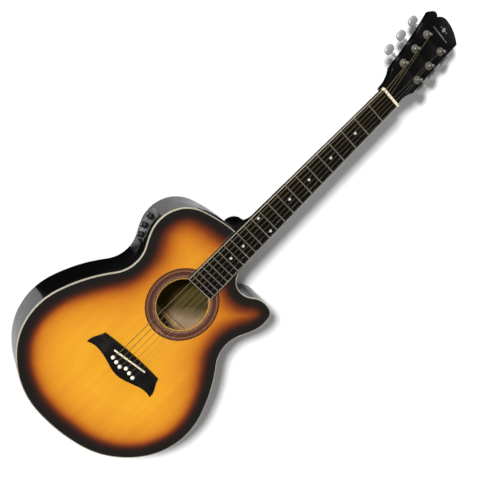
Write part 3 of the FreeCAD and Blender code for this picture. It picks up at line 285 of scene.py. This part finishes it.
def rosette_rings(centre, inner, outer):
    """Rings inlaid round the sound hole: an amber edge, a dashed grey ring, red-brown wood and pale lines."""
    finish = Finish("rosette_rings", Coat_Weight=1.0, Coat_Roughness=0.03, Coat_IOR=1.5)
    flat = finish.place((1, 1, 0), (-centre[0], -centre[1], 0))
    radius = finish.add("VectorMath", {0: flat}, operation="LENGTH").node.outputs["Value"]
    across = finish.spread(radius, inner, outer)
    amber, maroon, pale = colour(200, 146, 66), colour(92, 50, 36), colour(156, 108, 80)
    black, grey, rust = colour(52, 32, 24), colour(172, 142, 112), colour(122, 74, 50)
    bands = finish.ramp(across, [
        (0.00, amber), (0.115, black), (0.155, grey), (0.285, black), (0.33, pale), (0.365, maroon),
        (0.66, black), (0.69, pale), (0.745, rust), (0.90, black)], "CONSTANT")
    parts = finish.add("SeparateXYZ", {"Vector": flat})
    angle = finish.maths("ARCTAN2", parts.node.outputs["Y"], parts)
    dashes = finish.maths("SINE", finish.maths("MULTIPLY", angle, 170.0))
    dashed = finish.spread(dashes, -0.1, 0.25)
    within = finish.maths("MULTIPLY", finish.maths("GREATER_THAN", across, 0.155),
                          finish.maths("LESS_THAN", across, 0.285))
    gaps = finish.maths("MULTIPLY", within, finish.maths("SUBTRACT", 1.0, dashed))
    tone = finish.blend(gaps, bands, colour(84, 52, 38))
    swirl = finish.spread(finish.noise(finish.place((240, 240, 240)), 1, 4), 0.3, 0.7)
    finish.feed("Base_Color", finish.blend(finish.spread(swirl, 0, 1, 0, 0.4), tone, colour(38, 24, 20)))
    smudged(finish, 0.2, 0.3)
    return finish.material


def metal(name, tint, rough, brushed=None, metallic=1.0):
    """Metal with a polish that varies, or with fine hairlines where the brushing is given."""
    finish = Finish(name, Base_Color=tint, Metallic=metallic)
    if brushed:
        hair = finish.spread(finish.noise(finish.place(brushed), 1, 3), 0.3, 0.7)
        finish.feed("Roughness", finish.spread(hair, 0, 1, rough, rough * 1.7))
        finish.bump(hair, 0.1, 0.00005)
    else:
        smudged(finish, rough, rough * 1.8, 90)
    return finish.material


def wound_wire():
    """Bronze wrap round a string: fine ridges across it, with painted shade darkening the grooves between
    them.
    """
    finish = Finish("wound_string", Metallic=0.5, Roughness=0.5)
    turns = finish.maths("SINE", finish.maths(
        "MULTIPLY", finish.add("SeparateXYZ", {"Vector": finish.place()}), 2 * math.pi / (0.5 * MM)))
    ridge = finish.spread(turns, -1, 1)
    # Painted shade: the bronze is darker where the ridge is low, in the grooves between turns.
    finish.feed("Base_Color", finish.blend(ridge, colour(82, 72, 46), colour(118, 106, 72)))
    finish.bump(ridge, 0.6, 0.0001)
    return finish.material


def pearl():
    """Shell in layers that run from grey-green to warm white."""
    finish = Finish("pearl", Roughness=0.18, Coat_Weight=0.6, Coat_Roughness=0.05)
    layers = finish.spread(finish.noise(finish.place((260, 420, 260)), 1, 4, 0.6), 0.3, 0.7)
    finish.feed("Base_Color", finish.ramp(layers, [
        (0.0, colour(168, 172, 168)), (0.35, colour(206, 206, 198)), (0.6, colour(190, 198, 202)),
        (1.0, colour(216, 210, 200))]))
    return finish.material


def bone(name, light, dark):
    """A pale material with faint veins, slightly see-through."""
    finish = Finish(name, Subsurface_Weight=0.08, Subsurface_Radius=(0.0012, 0.0009, 0.0006))
    veins = finish.spread(finish.noise(finish.place((40, 220, 220)), 1, 4), 0.3, 0.7)
    finish.feed("Base_Color", finish.blend(veins, colour(*dark), colour(*light)))
    smudged(finish, 0.24, 0.38, 80)
    return finish.material


def black_plastic():
    """Moulded black plastic with a fine spark-eroded texture."""
    finish = Finish("black_plastic", Specular_IOR_Level=0.45)
    tint = colour(20, 20, 22)
    darker = tuple(0.8 * part for part in tint[:3]) + (1,)
    speck = finish.noise(finish.place(), 2600, 2)
    tone = finish.spread(finish.noise(finish.place(), 60, 3), 0.3, 0.7)
    finish.feed("Base_Color", finish.blend(tone, darker, tint))
    finish.feed("Roughness", finish.spread(speck, 0.3, 0.7, 0.36, 0.52))
    finish.bump(speck, 0.18, 0.00008)
    return finish.material


def studio_floor():
    """Plain white paper."""
    finish = Finish("studio_floor", Roughness=0.9, Specular_IOR_Level=0.1)
    fibre = finish.spread(finish.noise(finish.place(), 8, 3), 0.3, 0.7)
    finish.feed("Base_Color", finish.blend(fibre, colour(246, 246, 246), colour(250, 250, 250)))
    return finish.material


# ---------------------------------------------------------------- shapes

def new_piece(name, mesh, body, material, replaced=(), sharp=35):
    """A piece that rides on a body, smooth-shaded except across its sharp edges."""
    piece = bpy.data.objects.new(name, mesh)
    bpy.context.scene.collection.objects.link(piece)
    if not mesh.materials:
        mesh.materials.append(material)
    mesh.shade_smooth()
    mesh.set_sharp_from_angle(angle=math.radians(sharp))
    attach(piece, body)
    if replaced:
        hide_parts(*replaced)
    return piece


def mesh_of(name, shape):
    mesh = bpy.data.meshes.new(name)
    shape.to_mesh(mesh)
    shape.free()
    return mesh


def node_shape(node):
    """A node's mesh as one connected surface, its flat faces made whole again."""
    shape = bmesh.new()
    shape.from_mesh(NODES[node].data)
    bmesh.ops.remove_doubles(shape, verts=shape.verts, dist=2e-6)
    return shape


def flat_rims(node, height):
    """The closed outlines of a node's flat face at a height, longest first."""
    shape = node_shape(node)
    level = [face for face in shape.faces
             if abs(face.calc_center_median().z - height) < 1e-5 and abs(face.normal.z) > 0.99]
    inside = set(level)
    onward = {}
    for face in level:
        for loop in face.loops:
            if sum(other in inside for other in loop.edge.link_faces) == 1:
                onward[loop.vert] = loop.link_loop_next.vert
    rims = []
    while onward:
        start, vert = onward.popitem()
        rim = [start.co.xy.copy()]
        while vert is not start:
            rim.append(vert.co.xy.copy())
            vert = onward.pop(vert)
        rims.append(np.array(rim))
    shape.free()
    return sorted(rims, key=lambda rim: -np.ptp(rim[:, 0]))


def evenly(rim, step):
    """A closed outline with its points spread evenly, its corners kept where it turns sharply."""
    ahead = np.roll(rim, -1, 0) - rim
    behind = rim - np.roll(rim, 1, 0)
    turn = np.abs(np.angle(np.exp(1j * (np.arctan2(ahead[:, 1], ahead[:, 0])
                                        - np.arctan2(behind[:, 1], behind[:, 0])))))
    corners = np.flatnonzero(turn > math.radians(25))
    if len(corners) == 0:
        corners = np.array([0])
    rim = np.roll(rim, -corners[0], 0)
    corners = np.append(corners - corners[0], len(rim))
    closed = np.vstack([rim, rim[:1]])
    points = []
    for first, last in zip(corners[:-1], corners[1:]):
        part = closed[first:last + 1]
        along = np.append(0, np.cumsum(np.hypot(*np.diff(part, axis=0).T)))
        count = max(1, round(along[-1] / step))
        wanted = np.linspace(0, along[-1], count + 1)[:-1]
        points.append(np.column_stack([np.interp(wanted, along, part[:, k]) for k in (0, 1)]))
    return np.vstack(points)


def inset(rim, distance):
    """A closed counter-clockwise outline moved inward by a distance at every point."""
    ahead = np.roll(rim, -1, 0) - rim
    behind = rim - np.roll(rim, 1, 0)
    ahead /= np.hypot(*ahead.T)[:, None]
    behind /= np.hypot(*behind.T)[:, None]
    across = np.column_stack([-(ahead + behind)[:, 1], (ahead + behind)[:, 0]])
    across /= np.hypot(*across.T)[:, None]
    stretch = 1 / np.maximum(0.5, np.einsum("ij,ij->i", across, np.column_stack([-ahead[:, 1], ahead[:, 0]])))
    return rim + across * (distance * stretch)[:, None]


def counter_clockwise(rim):
    area = np.sum(rim[:, 0] * np.roll(rim[:, 1], -1) - np.roll(rim[:, 0], -1) * rim[:, 1])
    return rim if area > 0 else rim[::-1]


def distance_to(rim, points):
    """The distance from each point to a closed outline."""
    nearest = np.full(len(points), 1.0)
    for start, end in zip(rim, np.roll(rim, -1, 0)):
        edge = end - start
        share = np.clip((points - start) @ edge / (edge @ edge), 0, 1)
        nearest = np.minimum(nearest, np.hypot(*(points - start - share[:, None] * edge).T))
    return nearest


def ring_strip(rim, profile):
    """A closed section swept round an outline. The profile's points are inset and height."""
    shape = bmesh.new()
    rings = []
    for depth, height in profile:
        line = inset(rim, depth)
        rings.append([shape.verts.new((x, y, height)) for x, y in line])
    count = len(rim)
    for ring, after in zip(rings, rings[1:] + rings[:1]):
        for k in range(count):
            n = (k + 1) % count
            shape.faces.new((ring[k], ring[n], after[n], after[k]))
    bmesh.ops.recalc_face_normals(shape, faces=shape.faces)
    return shape


def plate(rims, low, high, spacing, keep):
    """A flat board between closed outlines, meshed all over, from one height to another."""
    points, edges = [], []
    for rim in rims:
        first = len(points)
        points += [Vector(point) for point in rim]
        edges += [(first + k, first + (k + 1) % len(rim)) for k in range(len(rim))]
    corner, far = rims[0].min(0), rims[0].max(0)
    rows = np.arange(corner[1], far[1], spacing * 0.866)
    grid = np.array([(x + (row % 2) * spacing / 2, y) for row, y in enumerate(rows)
                     for x in np.arange(corner[0], far[0], spacing)])
    clear = np.min([distance_to(rim, grid) for rim in rims], axis=0) > spacing * 0.45
    points += [Vector(point) for point in grid[clear]]
    flat = delaunay_2d_cdt(points, edges, [], 1, 1e-7)
    places, triangles = np.array([tuple(v) for v in flat[0]]), flat[2]
    centres = np.array([places[list(t)].mean(0) for t in triangles])
    wanted = keep(centres)
    shape = bmesh.new()
    verts = [shape.verts.new((x, y, high)) for x, y in places]
    for triangle, kept in zip(triangles, wanted):
        if kept:
            shape.faces.new([verts[k] for k in triangle])
    bmesh.ops.delete(shape, geom=[v for v in shape.verts if not v.link_faces], context="VERTS")
    lower = bmesh.ops.extrude_face_region(shape, geom=shape.faces[:])["geom"]
    for vert in (part for part in lower if isinstance(part, bmesh.types.BMVert)):
        vert.co.z = low
    bmesh.ops.recalc_face_normals(shape, faces=shape.faces)
    return shape


def seat(origin, out, up):
    """A place whose local Z points out and whose local Y points up, or as nearly as it can."""
    out = Vector(out).normalized()
    side = Vector(up).cross(out).normalized()
    turn = Matrix((side, out.cross(side), out)).transposed()
    return Matrix.Translation(origin) @ turn.to_4x4()


def joined(parts):
    """One shape from several, each moved to its own place."""
    whole = bmesh.new()
    for part, where in parts:
        part.transform(where)
        mesh = mesh_of("part", part)
        whole.from_mesh(mesh)
        bpy.data.meshes.remove(mesh)
    return whole


def skinned(rings):
    """A closed skin over rings of points from one end to the other. A ring of one point closes an end."""
    shape = bmesh.new()
    loops = [[shape.verts.new(point) for point in ring] for ring in rings]
    count = max(len(loop) for loop in loops)
    for loop, after in zip(loops, loops[1:]):
        for k in range(count):
            n = (k + 1) % count
            if len(loop) == 1:
                shape.faces.new((loop[0], after[k], after[n]))
            elif len(after) == 1:
                shape.faces.new((loop[k], loop[n], after[0]))
            else:
                shape.faces.new((loop[k], loop[n], after[n], after[k]))
    bmesh.ops.recalc_face_normals(shape, faces=shape.faces)
    return shape


def lathe(profile, count, flutes=0, depth=0.0, grip=(0, 0)):
    """A turned solid from pairs of radius and height. The radius is grooved between the heights of grip."""
    rings = []
    for radius, height in profile:
        if radius == 0:
            rings.append([(0, 0, height)])
            continue
        groove = depth if grip[0] <= height <= grip[1] else 0
        ring = []
        for turn in np.linspace(0, 2 * math.pi, count, endpoint=False):
            reach = radius - groove * (0.5 - 0.5 * math.cos(flutes * turn))
            ring.append((reach * math.cos(turn), reach * math.sin(turn), height))
        rings.append(ring)
    return skinned(rings)


def softened(node, width):
    """A node's shape with its sharp edges rounded over, ready to stand for it."""
    shape = node_shape(node)
    bmesh.ops.dissolve_limit(shape, angle_limit=math.radians(0.6), verts=shape.verts, edges=shape.edges)
    hard = [edge for edge in shape.edges
            if len(edge.link_faces) == 2 and edge.calc_face_angle(0) > math.radians(30)]
    bmesh.ops.bevel(shape, geom=hard, offset=width, segments=2, profile=0.5,
                    affect="EDGES", clamp_overlap=True)
    bmesh.ops.triangulate(shape, faces=[face for face in shape.faces if len(face.verts) > 4])
    return mesh_of(node + "_finished", shape)


def finished(node, material, width):
    """The rounded-over copy of a node, standing for it on its own body."""
    new_piece(node + "_finished", softened(node, width), NODES[node]["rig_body"], material,
              (node,))


# ---------------------------------------------------------------- the body

def radius_of(rim, centre):
    return float(np.mean(np.hypot(*(rim - centre).T)))


def middle(node):
    low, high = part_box(node)
    return np.array(((low + high) / 2).xy)


def circle(centre, radius):
    turn = np.linspace(0, 2 * math.pi, 192, endpoint=False)
    return centre + radius * np.column_stack([np.cos(turn), np.sin(turn)])


def two_finishes(mesh, usual, other, takes_other):
    """One finish on most of a mesh, and another on the faces that a test picks."""
    mesh.materials.append(usual)
    mesh.materials.append(other)
    for face in mesh.polygons:
        face.material_index = int(takes_other(face))


def make_body(finishes):
    low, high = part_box("soundboard")
    outline = evenly(counter_clockwise(flat_rims("top_binding", high.z)[0]), 2.5 * MM)
    centre = middle("rosette")
    reach = max(radius_of(rim, centre) for rim in flat_rims("rosette", high.z))
    make_soundboard(outline, centre, reach, low.z, high.z, finishes)
    make_rosette(centre, reach, low.z, high.z, finishes)
    make_binding(outline, low.z, high.z, finishes)
    make_back(outline, finishes)
    line_inside(outline, finishes)


def make_soundboard(outline, centre, reach, bottom, top, finishes):
    """The top outside the rosette, which knows how far each point is from the edge."""
    board = plate([inset(outline, BINDING_WIDTH), circle(centre, reach)], bottom, top, 5 * MM,
                  lambda places: np.hypot(*(places - centre).T) > reach * 0.999)
    mesh = mesh_of("soundboard_burst", board)
    places = np.array([vert.co.xy for vert in mesh.vertices])
    depth = distance_to(outline, places)
    narrowing = np.interp(places[:, 0], (-0.38, -0.27, -0.16), (1.0, 0.72, 0.52))
    depth = np.where(depth > DARK_EDGE, DARK_EDGE + (depth - DARK_EDGE) * narrowing, depth)
    burst = mesh.attributes.new("edge_distance", "FLOAT", "POINT")
    burst.data.foreach_set("value", depth.astype(np.float32))
    two_finishes(mesh, finishes["sunburst"], finishes["spruce"], lambda face: face.normal.z < -0.5)
    new_piece("soundboard_burst", mesh, "guitar", finishes["sunburst"], ("soundboard",))


def make_rosette(centre, reach, bottom, top, finishes):
    """The inlaid ring, which also lines the rim of the sound hole."""
    hole = min(radius_of(rim, centre) for rim in flat_rims("soundboard", bottom)[1:])
    section = [(0, bottom + 0.4 * MM), (0, top - 0.5 * MM), (-0.15 * MM, top - 0.15 * MM), (-0.5 * MM, top),
               (hole - reach, top), (hole - reach, bottom), (-0.4 * MM, bottom)]
    rings = ring_strip(circle(centre, hole), section)
    new_piece("rosette_inlay", mesh_of("rosette_inlay", rings), "guitar", finishes["rosette"],
              ("rosette",))


def make_binding(outline, bottom, top, finishes):
    """Cream plastic round the edge of the top, with black lacquer over its lowest part."""
    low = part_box("top_binding")[0].z
    lacquered = low + 1.6 * MM
    rounding = 1.1 * MM
    arc = [(rounding * (1 - math.cos(t)), top - rounding * (1 - math.sin(t)))
           for t in np.linspace(0, math.pi / 2, 5)]
    section = [(0, low), (0, lacquered), *arc, (BINDING_WIDTH, top), (BINDING_WIDTH, bottom),
               (BINDING_DEPTH, bottom), (BINDING_DEPTH, low)]
    mesh = mesh_of("binding_strip", ring_strip(outline, section))
    two_finishes(mesh, finishes["binding"], finishes["black"], lambda face: face.center.z < lacquered)
    new_piece("binding_strip", mesh, "guitar", finishes["binding"], ("top_binding",))


def make_back(outline, finishes):
    """The back, its lower edge rounded over, lacquered outside and bare inside."""
    low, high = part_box("back_plate")[0].z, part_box("back_plate")[1].z
    round_over = 2.4 * MM
    shape = bmesh.new()
    depths = [round_over * (1 - math.cos(t)) for t in np.linspace(0, math.pi / 2, 6)]
    levels = [round_over * (1 - math.sin(t)) + low for t in np.linspace(0, math.pi / 2, 6)]
    rings = [[shape.verts.new((x, y, high)) for x, y in outline]]
    for depth, level in zip(depths, levels):
        rings.append([shape.verts.new((x, y, level)) for x, y in inset(outline, depth)])
    count = len(outline)
    for ring, after in zip(rings, rings[1:]):
        for k in range(count):
            n = (k + 1) % count
            shape.faces.new((ring[k], ring[n], after[n], after[k]))
    inner = shape.faces.new(rings[0])
    shape.faces.new(rings[-1][::-1])
    bmesh.ops.recalc_face_normals(shape, faces=shape.faces)
    inner.material_index = 1
    bmesh.ops.triangulate(shape, faces=[face for face in shape.faces if len(face.verts) > 4])
    mesh = mesh_of("back_panel", shape)
    mesh.materials.append(finishes["black"])
    mesh.materials.append(finishes["inner"])
    new_piece("back_panel", mesh, "guitar", finishes["black"], ("back_plate",))


def line_inside(outline, finishes):
    """The rim is lacquered on the outside only; the faces turned inwards are bare wood."""
    for node in (name for name in NODES if "_side_" in name):
        mesh = NODES[node].data
        mesh.materials.append(finishes["inner"])
        centres = np.array([face.center.xy for face in mesh.polygons])
        for face, depth in zip(mesh.polygons, distance_to(outline, centres)):
            face.material_index = int(depth > 1.2 * MM)


# ---------------------------------------------------------------- tuners

def paddle():
    """A kidney-shaped button, flat on both faces, with a rounded rim."""
    half_length, half_width = 10.6 * MM, 8.1 * MM
    half_section = [(6.5, 3.1), (3.4, 2.95), (1.7, 2.7), (0.8, 2.2), (0.25, 1.4), (0, 0.4)]
    section = half_section + [(shrink, -height) for shrink, height in half_section[::-1]]
    rings = [[(0, 0, 3.15 * MM)]]
    for shrink, height in section:
        ring = []
        for turn in np.linspace(0, 2 * math.pi, 44, endpoint=False):
            across, out = math.cos(turn), math.sin(turn)
            x = (half_length - shrink * MM) * math.copysign(abs(across) ** 0.8, across)
            y = (half_width - shrink * MM) * math.copysign(abs(out) ** 0.8, out)
            if y < 0:
                y *= 1 - 0.22 * math.exp(-(x / (4.5 * MM)) ** 2)
            ring.append((x, y, height * MM))
        rings.append(ring)
    rings.append([(0, 0, -3.15 * MM)])
    return skinned(rings)


def button_shaft():
    """The turned shaft between the gear housing and the button."""
    profile = [(0, -35), (1.9, -35), (1.9, -17), (2.5, -16.6), (2.5, -13.4), (3.1, -13.1), (3.2, -12.6),
               (3.2, -10.6), (2.9, -10.1), (2.1, -9.6), (1.9, -8.5), (2.1, -7), (1.6, -5.5), (0, -5.5)]
    return lathe([(radius * MM, height * MM) for radius, height in profile], 32)


def wound_turns(core, wire, low, turns, hand):
    """The turns of a string on its post, as a tube that climbs from one turn to the next."""
    steps = int(30 * turns)
    rings = []
    for step in range(steps + 1):
        turn = hand * (2 * math.pi * turns * step / steps - math.pi / 2)
        out = Vector((math.cos(turn), math.sin(turn), 0))
        centre = out * (core + wire) + UP * (low + 2.1 * wire * turns * step / steps)
        taper = 0.6 if step in (0, steps) else 1
        rings.append([centre + (out * math.cos(angle) + UP * math.sin(angle)) * wire * taper
                      for angle in np.linspace(0, 2 * math.pi, 10, endpoint=False)])
        if step in (0, steps):
            rings.insert(len(rings) if step else 0, [centre])
    return skinned(rings)


def make_tuners(finishes):
    for number, gauge in STRINGS.items():
        button, post = JOINTS["button_%d_turn" % number], JOINTS["post_%d_turn" % number]
        out, head_up = Vector(button["axis"]), Vector(post["axis"])
        face = seat(button["pos_m"], head_up, out)
        shape = joined([(paddle(), face), (button_shaft(), seat(button["pos_m"], out, head_up))])
        new_piece("tuner_paddle_%d" % number, mesh_of("paddle", shape), "button_%d" % number,
                  finishes["button"], ("tuner_button_%d" % number,))
        turns = 3.2 - 0.15 * number
        shape = wound_turns(POST_RADIUS, gauge / 2, COIL_START + gauge / 2, turns, out.y)
        shape.transform(seat(post["pos_m"], head_up, (0, 1, 0)))
        slot = SLOTS["string_%d" % number]
        new_piece("string_turns_%d" % number, mesh_of("turns", shape), "post_%d" % number,
                  finishes[slot])


# ---------------------------------------------------------------- inlays

def chip(half_length, half_width, count, rise=0.12 * MM):
    """A small inlaid plate with a softened rim, sunk into the surface it decorates."""
    profile = [(0, rise), (0.5, rise), (0.9, rise * 0.9), (1, rise * 0.4), (1, -2 * rise), (0, -2 * rise)]
    shape = lathe(profile, count)
    shape.transform(Matrix.Diagonal((half_length, half_width, 1, 1)))
    return shape


def make_headstock_inlay(finishes):
    """A plain lozenge over a row of small chips."""
    post = JOINTS["post_1_turn"]
    up = Vector(post["axis"])
    along = Vector((0, 1, 0)).cross(up)
    first = Vector(post["pos_m"]) * Vector((1, 0, 1))

    def spot(distance, across):
        return seat(first + along * distance * MM + Vector((0, across * MM, 0)), up, (0, 1, 0))

    parts = [(chip(5.4 * MM, 4.2 * MM, 4), spot(104, 0)), (chip(1.7 * MM, 1.3 * MM, 4), spot(104, 7.6)),
             (chip(1.7 * MM, 1.3 * MM, 4), spot(104, -7.6))]
    for step in range(-5, 6):
        size = (1.6 - 0.1 * abs(step)) * MM
        parts.append((chip(size, 0.8 * size, 12), spot(92.5, 3.8 * step)))
    new_piece("headstock_inlay", mesh_of("headstock_inlay", joined(parts)), "guitar", finishes["silver_leaf"])


def make_rosette_leaf(finishes):
    """A small pearl leaf in the rosette, on the side towards the bridge."""
    low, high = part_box("rosette")
    centre, radius = (low + high) / 2, 62 * MM
    parts = []
    for angle, length, width, lean in ((180, 4.2, 1.5, 0), (176.6, 4.4, 1.2, 38), (183.4, 4.4, 1.2, -38),
                                       (171.5, 4.2, 0.8, 74), (188.5, 4.2, 0.8, -74)):
        turn = math.radians(angle)
        out = Vector((math.cos(turn), math.sin(turn), 0))
        where = Vector((centre.x, centre.y, high.z)) + out * radius
        blade = seat(where, UP, Matrix.Rotation(math.radians(lean), 3, "Z") @ out)
        parts.append((chip(width * MM, length * MM, 16, 0.08 * MM), blade))
    new_piece("rosette_leaf", mesh_of("rosette_leaf", joined(parts)), "guitar", finishes["copper_leaf"])


# ---------------------------------------------------------------- preamp

def make_knobs(finishes):
    """Fluted knobs with a pale pointer line."""
    profile = [(0, -16), (3, -16), (3, -3.5), (6.2, -3.5), (6.4, -3.2), (6.4, -2.6), (6.1, -2.2), (5.7, -2.0),
               (5.6, -1.6), (5.35, 3.0), (5.1, 3.5), (4.6, 3.9), (4.2, 4.0), (3.6, 3.7), (0, 3.6)]
    profile = [(radius * MM, height * MM) for radius, height in profile]
    for node in ("volume_knob", "bass_knob", "treble_knob"):
        joint = JOINTS[node + "_turn"]
        where = seat(joint["pos_m"], joint["axis"], UP)
        shape = lathe(profile, 96, 16, 0.45 * MM, (-1.8 * MM, 3.2 * MM))
        shape.transform(where)
        new_piece(node + "_fluted", mesh_of(node, shape), node, finishes["plastic"], (node,), 50)
        pointer = chip(0.45 * MM, 2.0 * MM, 8, 0.1 * MM)
        pointer.transform(where @ Matrix.Translation((0, 2.2 * MM, 3.75 * MM)))
        new_piece(node + "_pointer", mesh_of("pointer", pointer), node, finishes["pin"])


# ---------------------------------------------------------------- everything

def paint(finishes):
    """The nodes that keep their own shape get the finish of their slot."""
    by_slot = {
        "sunburst_top": "sunburst", "black_gloss": "black", "cream_binding": "binding", "rosette": "rosette",
        "inner_wood": "spruce", "black_steel": "black_steel", "dark_wood": "fingerboard", "fret_wire": "fret",
        "pearl_dot": "pearl", "bone": "bone", "pickup": "plastic", "chrome": "chrome",
        "plain_string": "plain_string", "wound_string": "wound_string", "black_plastic": "plastic",
        "battery": "battery",
    }
    for number in STRINGS:
        NODES["string_%d" % number].visible_shadow = False
    for node, piece in NODES.items():
        piece.data.materials.clear()
        piece.data.materials.append(finishes[by_slot[SLOTS[node]]])


def make_finishes():
    low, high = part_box("rosette")
    centre = (low + high) / 2
    hole = 47.8 * MM
    return {
        "black": gloss_black(), "sunburst": sunburst(), "binding": cream_plastic(),
        "spruce": brace_wood(),
        "inner": wood_with_painted_shade(centre.x),
        "fingerboard": fingerboard_wood(), "bridge": bridge_wood(),
        "rosette": rosette_rings(centre, hole, (high.x - low.x) / 2),
        "fret": metal("nickel_fret", colour(176, 172, 164), 0.34, (900, 40, 900)),
        "chrome": metal("chrome", colour(160, 158, 152), 0.3),
        "button": metal("button_chrome", colour(186, 186, 184), 0.36, metallic=0.6),
        "satin": metal("bushing_chrome", colour(146, 142, 128), 0.45),
        "black_steel": metal("black_steel", colour(70, 70, 74), 0.35),
        "plain_string": metal("plain_string", colour(138, 134, 120), 0.4),
        "wound_string": wound_wire(), "pearl": pearl(),
        "bone": bone("bone", (243, 234, 208), (226, 212, 180)),
        "silver_leaf": bone("silver_leaf", (150, 150, 147), (112, 112, 110)),
        "copper_leaf": bone("copper_leaf", (178, 126, 92), (140, 92, 64)),
        "pin": bone("ivory_plastic", (246, 242, 226), (236, 230, 208)),
        "plastic": black_plastic(),
        "battery": metal("battery_can", colour(120, 124, 130), 0.3),
    }


def make_stage():
    """A floor wide enough to fill the picture from any side."""
    width = 40
    shape = bmesh.new()
    bmesh.ops.create_grid(shape, x_segments=8, y_segments=8, size=width / 2)
    floor = bpy.data.objects.new("studio_floor", mesh_of("studio_floor", shape))
    floor.data.materials.append(studio_floor())
    floor.location.z = -0.0005
    bpy.context.scene.collection.objects.link(floor)


def make_world():
    """A studio that is bright round the horizon and dim overhead."""
    world = bpy.data.worlds.new("studio")
    world.use_nodes = True
    tree = world.node_tree
    place = tree.nodes.new("ShaderNodeTexCoord")
    parts = tree.nodes.new("ShaderNodeSeparateXYZ")
    level = tree.nodes.new("ShaderNodeMapRange")
    level.interpolation_type = "SMOOTHSTEP"
    for label, value in (("From Min", 0.2), ("From Max", 0.75), ("To Min", 0.64), ("To Max", 0.08)):
        level.inputs[label].default_value = value
    tree.links.new(place.outputs["Generated"], parts.inputs[0])
    tree.links.new(parts.outputs["Z"], level.inputs["Value"])
    tree.nodes["Background"].inputs["Color"].default_value = (1, 1, 1, 1)
    tree.links.new(level.outputs["Result"], tree.nodes["Background"].inputs["Strength"])
    bpy.context.scene.world = world


def lamp(name, kind, energy):
    light = bpy.data.lights.new(name, kind)
    light.energy = energy
    stand = bpy.data.objects.new(name, light)
    bpy.context.scene.collection.objects.link(stand)
    return stand


def make_lights():
    """A broad key light from the bass side, and a faint fill overhead that polish doesn't mirror."""
    key = lamp("key", "SUN", 3.75)
    key.data.angle = math.radians(11)
    key.rotation_euler = Vector((0.0, -0.616, -0.788)).to_track_quat("-Z", "Y").to_euler()
    fill = lamp("overhead", "AREA", 4.0)
    fill.data.size = 1.2
    fill.location = (0, 0, 2.2)
    fill.visible_glossy = False
    flag("flag_waist", (-0.349, -0.183), (0.09, 0.6))
    flag("flag_heel", (-0.03, 0.1), (-0.3, 0.085))
    flag("flag_head", (0.3, 0.7), (-0.3, 0.3))
    bpy.context.scene.view_settings.view_transform = "Standard"


def flag(name, across, along):
    """A black card lying on the floor beside the object, seen only in polished surfaces."""
    finish = Finish(name, Base_Color=(0, 0, 0, 1), Specular_IOR_Level=0.0, Roughness=1.0)
    shape = bmesh.new()
    corners = [(across[i], along[j], 0.0003) for i, j in ((0, 0), (1, 0), (1, 1), (0, 1))]
    shape.faces.new([shape.verts.new(corner) for corner in corners])
    card = bpy.data.objects.new(name, mesh_of(name, shape))
    card.data.materials.append(finish.material)
    bpy.context.scene.collection.objects.link(card)
    for ray in ("camera", "diffuse", "transmission", "volume_scatter", "shadow"):
        setattr(card, "visible_" + ray, False)


def make_camera():
    """A long lens above the bass side, turned so that the neck points up and to the right."""
    right = Vector((0.7046, -0.6458, 0.2941)).normalized()
    forward = Vector((0.0082, -0.407, -0.9134)).normalized()
    up = right.cross(forward).normalized()
    right = forward.cross(up)
    camera = bpy.data.cameras.new("camera")
    camera.lens = 78.75
    camera.sensor_width = 36
    eye = bpy.data.objects.new("camera", camera)
    turn = Matrix((right, up, -forward)).transposed()
    eye.matrix_world = Matrix.Translation((-0.0509, 0.764, 1.777)) @ turn.to_4x4()
    bpy.context.scene.collection.objects.link(eye)
    bpy.context.scene.camera = eye


FINISHED = (
    ("bridge", "bridge", 0.9), ("saddle", "bone", 0.8), ("nut", "bone", 0.5), ("bridge_pins", "pin", 0.2),
    ("headstock_veneer", "black", 0.7), ("tuner_bushings", "satin", 0.35), ("preamp_panel", "black", 0.5),
    ("battery_drawer", "plastic", 0.3), ("check_button", "plastic", 0.3), ("endpin_jack", "chrome", 0.3),
)


def main():
    make_camera()
    finishes = make_finishes()
    paint(finishes)
    make_body(finishes)
    for node, finish, width in FINISHED:
        finished(node, finishes[finish], width * MM)
    make_tuners(finishes)
    make_headstock_inlay(finishes)
    make_rosette_leaf(finishes)
    make_knobs(finishes)
    make_stage()
    make_world()
    make_lights()


main()
